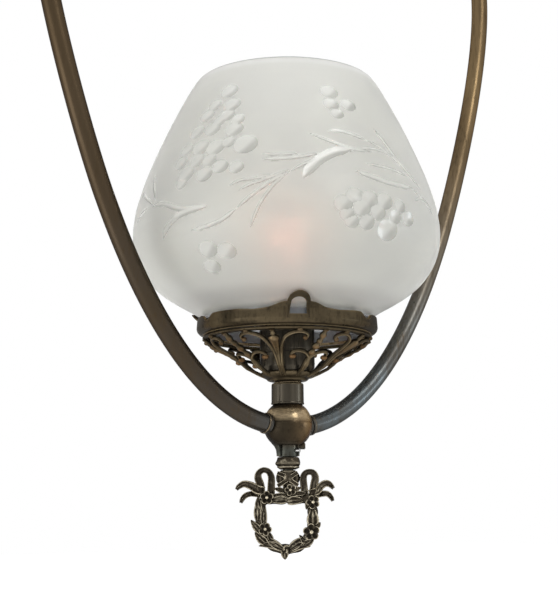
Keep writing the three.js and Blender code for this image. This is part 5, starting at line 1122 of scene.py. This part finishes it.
put("screw_cap", [bulb_cap()], BRASS, "bulb", ["bulb_cap"])
put("globe", [globe()], BULB, "bulb", ["bulb_glass"])


def filament():
    """A glass stem with two wires that hold a coil of 26 turns."""
    stem = eased([(0, 67.9), (11.2, 67.9), (11.2, 68.6), (5.2, 71.5), (3.0, 75.4), (2.9, 93.5), (1.2, 95.3),
                  (0, 95.4)], 0.5, 3)
    parts = [lathe(stem, 40, False)]
    for side in (-1, 1):
        wire = curve([(side * 1.5, 0, 93), (side * 4.0, 0, 101), (side * 8, 0, 112.5)], 24)
        parts.append(swept(wire, ring_section(8) * 0.38, (0, 1, 0)))
    t = np.linspace(0, 1, 420)
    coil = np.stack([-8 + 16 * t, 0.55 * np.cos(TAU * 26 * t), 112.5 + 0.55 * np.sin(TAU * 26 * t)], 1)
    parts.append(swept(coil, ring_section(6) * 0.2, (0.1, 1, 0), lit=1.0))
    return parts


put("filament", filament(), WIRE, "bulb", ["filament_mount"])


# ---------------------------------------------------------------- ceiling end

def high(profile):
    """A profile whose heights are given from the ceiling."""
    return np.asarray(profile, float) - [0, BALL_Z]


# the bell of the canopy, as shares of its radius and its depth
DOME = np.array([(1, 0.07), (0.94, 0.21), (0.8, 0.4), (0.6, 0.6), (0.37, 0.78), (0.23, 0.88), (0.17, 1)])


def dome():
    """The canopy: a bell 60 mm in radius and 42 mm deep under a straight rim, and inside it the same bell a
    wall further in, cut off by the hole for the stem."""
    bell = curve(np.column_stack([DOME, 0 * DOME[:, 0]]) * [60, 42, 1], 60)[:, :2]
    outer = np.concatenate([[(59.5, 0.05), (59.9, 0.35), (60, 1.0), (60, 2.3)], bell])
    inner = np.concatenate([[(58.6, 0.05), (58.6, 0.35), (58.6, 1.0), (58.6, 2.3)], bell - [1.25, 1.15]])
    inner[:, 0] = np.maximum(inner[:, 0], 6.9)
    line = np.concatenate([outer, inner[::-1]])
    return lathe(high(np.stack([line[:, 0], -0.6 - line[:, 1]], 1)), 128)


put("dome", [dome()], TUBE, "canopy", ["ceiling_canopy"])
ring = eased([(6.9, -50.9), (8.85, -50.9), (10.2, -48.9), (10.5, -46.9), (10.2, -44.5), (9.5, -42.9), (6.9, -42.9)],
             0.9, 5, True)
put("slip_ring", [lathe(high(ring), 80)], BALLS, "canopy", ["canopy_ring"])


def neck():
    """The swivel's neck with a barrel head, and the round side hole for the leads near its top: two walls
    meet along the hole's outline."""
    outside, bore = 6.5, 4.3
    a = np.concatenate([np.linspace(-29.4, 29.4, 25), np.linspace(31, 329, 60)])
    hole = np.sqrt(np.clip(3.2 ** 2 - (outside * np.sin(np.radians(a))) ** 2, 0, None)) * (np.abs(a) < 30)
    head = eased([(outside, -30), (outside, -79.2), (7.1, -80), (7.5, -80.6), (7.5, -95.4), (7.2, -96)], 0.4, 3)
    inner = np.stack([np.interp(head[:, 1], [-96, -90.3, -30], [6.6, bore, bore]), head[:, 1]], 1)
    walls = [lathe(high(np.concatenate([head, inner[::-1]])), 80)]
    for edge, sign in ((-30.0, -1), (-4.3, 1)):
        z = edge + (-25.4 + sign * hole[:, None] - edge) * np.linspace(0, 1, 8)[None] ** 0.6
        walls.append(shell(polar(outside, a[:, None], z - BALL_Z), polar(bore, a[:, None], z - BALL_Z), True))
    return walls


put("neck", neck(), BALLS, "ceiling", ["swivel_neck"])


def yoke():
    """The yoke: a turned base with the stem's socket, and two ears between the base's own round and a flat
    inner face, with tops that are half circles."""
    base = eased([(4.3, -99.8), (4.3, -105.1), (6.65, -105.1), (6.65, -114.8), (8.3, -114.8), (8.65, -114.2),
                  (8.65, -105.6), (10.6, -102.9), (10.6, -99.8)], 0.5, 3, True)
    parts = [lathe(high(base), 80)]
    y = np.linspace(-5.95, 5.95, 25)
    share = np.concatenate([[0, 0.5], np.linspace(0.8, 1, 8)])
    top = -88 + np.sqrt(6.6 ** 2 - y ** 2)
    z = -100.4 + (top[:, None] + 100.4) * share[None] - BALL_Z
    x_out = np.sqrt(10.6 ** 2 - y ** 2)[:, None] - 0.35 * (share[None] == 1)
    y = np.broadcast_to(y[:, None], z.shape)
    for side in (1, -1):
        parts.append(shell(np.stack([side * x_out + 0 * z, y, z], -1), np.stack([side * 8.0 + 0 * z, y, z], -1)))
    return parts


put("yoke", yoke(), BALLS, "pendant", ["swivel_yoke"])
stem = eased([(5.35, -104.8), (6.35, -104.8), (6.35, -164.7), (5.35, -164.7)], 0.3, 3, True)
put("stem", [lathe(high(stem), 72)], TUBE, "pendant", ["stem_tube"])
low = UP_BALL + BALL_Z + math.sqrt(BALL_R ** 2 - 6.65 ** 2) + 0.3
lip = eased([(6.65, low), (7.5, low), (7.66, low + 0.7), (7.2, low + 1.6), (6.65, low + 1.6)], 0.3, 3, True)
put("stem_lip", [lathe(high(lip), 72)], BALLS, "pendant", ["stem_ring"])


# ---------------------------------------------------------------- stage

SEEN_BY = ("Is Camera Ray", "Is Glossy Ray", "Is Transmission Ray")


def aim(obj, right, above, back, place):
    """Turns an object so that its X, Y and Z axes point right, above and back, and moves it to a place."""
    turn = np.eye(4)
    turn[:3] = np.stack([right, above, back, place], 1)
    obj.matrix_world = Matrix(turn.tolist())


def camera():
    """The camera: 760.4 mm from the axis and 51.75 mm under the ball's centre, looking up by 9.67 degrees and
    a third of a degree to the left, a third of a degree tilted, with a lens of 1283.3 pixels on a picture 590
    high."""
    a, pitch, yaw, roll = (math.radians(v) for v in (36.82, 9.67, -0.357, -0.352))
    distance, drop, film = 760.4, 51.75, 36
    place = np.array([-distance * math.sin(a), -distance * math.cos(a), -drop + BALL_Z]) / 1000
    ahead = np.array([math.sin(a + yaw) * math.cos(pitch), math.cos(a + yaw) * math.cos(pitch), math.sin(pitch)])
    right = np.array([math.cos(a + yaw), -math.sin(a + yaw), 0.0])
    above = np.cross(right, ahead)
    right, above = (right * math.cos(roll) + above * math.sin(roll), above * math.cos(roll) - right * math.sin(roll))
    data = bpy.data.cameras.new("camera")
    data.lens = film * 1283.3 / 590
    data.sensor_width = film
    data.clip_start, data.clip_end = 0.01, 100
    obj = stand("camera", data)
    aim(obj, right, above, -ahead, place)
    bpy.context.scene.camera = obj


def lamp(name, azimuth, elevation, distance, size, power, colour=(1, 1, 1)):
    """A square soft lamp that looks at the middle of the light; the azimuth is from the camera's side,
    positive to the right."""
    a, e = math.radians(FACING + azimuth), math.radians(elevation)
    out = np.array([math.cos(a) * math.cos(e), math.sin(a) * math.cos(e), math.sin(e)])
    data = bpy.data.lights.new(name, "AREA")
    data.shape, data.size, data.energy, data.color = "SQUARE", size, power, colour
    right = unit(np.cross([0, 0, 1], out))
    aim(stand(name, data), right, np.cross(out, right), out, out * distance + [0, 0, -0.45])


def world():
    """A plain white room: full white where the camera, a mirror or glass sees it, dimmer as light."""
    room = bpy.data.worlds.new("studio")
    room.use_nodes = True
    bpy.context.scene.world = room
    nodes, links = room.node_tree.nodes, room.node_tree.links
    back = nodes["Background"]
    back.inputs["Color"].default_value = (1, 1, 1, 1)
    rays = nodes.new("ShaderNodeLightPath")
    seen = rays.outputs[SEEN_BY[0]]
    for ray in SEEN_BY[1:]:
        either = nodes.new("ShaderNodeMath")
        either.operation = "MAXIMUM"
        links.new(seen, either.inputs[0])
        links.new(rays.outputs[ray], either.inputs[1])
        seen = either.outputs[0]
    level = nodes.new("ShaderNodeMapRange")
    level.inputs["To Min"].default_value = 0.72
    level.inputs["To Max"].default_value = 1.0
    links.new(seen, level.inputs["Value"])
    links.new(level.outputs[0], back.inputs["Strength"])


def floor():
    """A pale floor well below the light, which keeps its shadow: where the camera, a mirror or glass sees
    it, a little of its own light lifts it to the white behind it."""
    mesh = bpy.data.meshes.new("floor")
    mesh.from_pydata([(x, y, -1.7) for x, y in ((-30, -30), (30, -30), (30, 30), (-30, 30))], [], [(0, 1, 2, 3)])
    p = Paint("floor", Roughness=0.9, Emission_Color=(1, 1, 1, 1))
    p.set(Base_Color=p.mix((0.94, 0.94, 0.935, 1), (0.93, 0.93, 0.925, 1), p.noise(3, 2.0)))
    seen = p.node("ShaderNodeLightPath", {}, SEEN_BY[0])
    for ray in SEEN_BY[1:]:
        seen = seen.top(p.node("ShaderNodeLightPath", {}, ray))
    p.set(Emission_Strength=seen * 0.42)
    mesh.materials.append(p.material)
    obj = stand("floor", mesh)


camera()
world()
floor()
lamp("key", 42, 34, 1.6, 0.55, 6.0)
lamp("top", 0, 62, 1.9, 1.0, 1.7)
lamp("fill", -58, -12, 1.9, 1.3, 10.8)
lamp("cool", 88, -6, 1.6, 0.35, 2.5, (0.84, 0.92, 1.0))

# the CAD nodes that stay, with a finish and, but for the leads, eased edges
KEPT = {
    BRASS: ("neck_locknut pivot_screw_right pivot_screw_left canopy_set_screw terminal_screw_live "
            "terminal_screw_neutral nipple_locknut screw_socket centre_contact neutral_terminal "
            "plug_washer plug_screw"),
    STEEL: "ceiling_plate stop_pin bulb_contact",
    PLASTIC: "terminal_block",
    PORCELAIN: "porcelain_base",
    FIBRE: "insulating_liner cap_button",
    LEAD_BROWN: "ceiling_lead_live lead_live",
    LEAD_GREY: "ceiling_lead_neutral lead_neutral",
}
for paint, names in KEPT.items():
    for name in names.split():
        obj = frame["nodes"][name]
        obj.data.materials.clear()
        obj.data.materials.append(paint)
        if paint not in (LEAD_BROWN, LEAD_GREY):
            edge = obj.modifiers.new("edges", "BEVEL")
            edge.width, edge.segments = 0.00015, 2
            edge.limit_method, edge.angle_limit = "ANGLE", math.radians(40)
bpy.context.scene.view_settings.view_transform = "Standard"
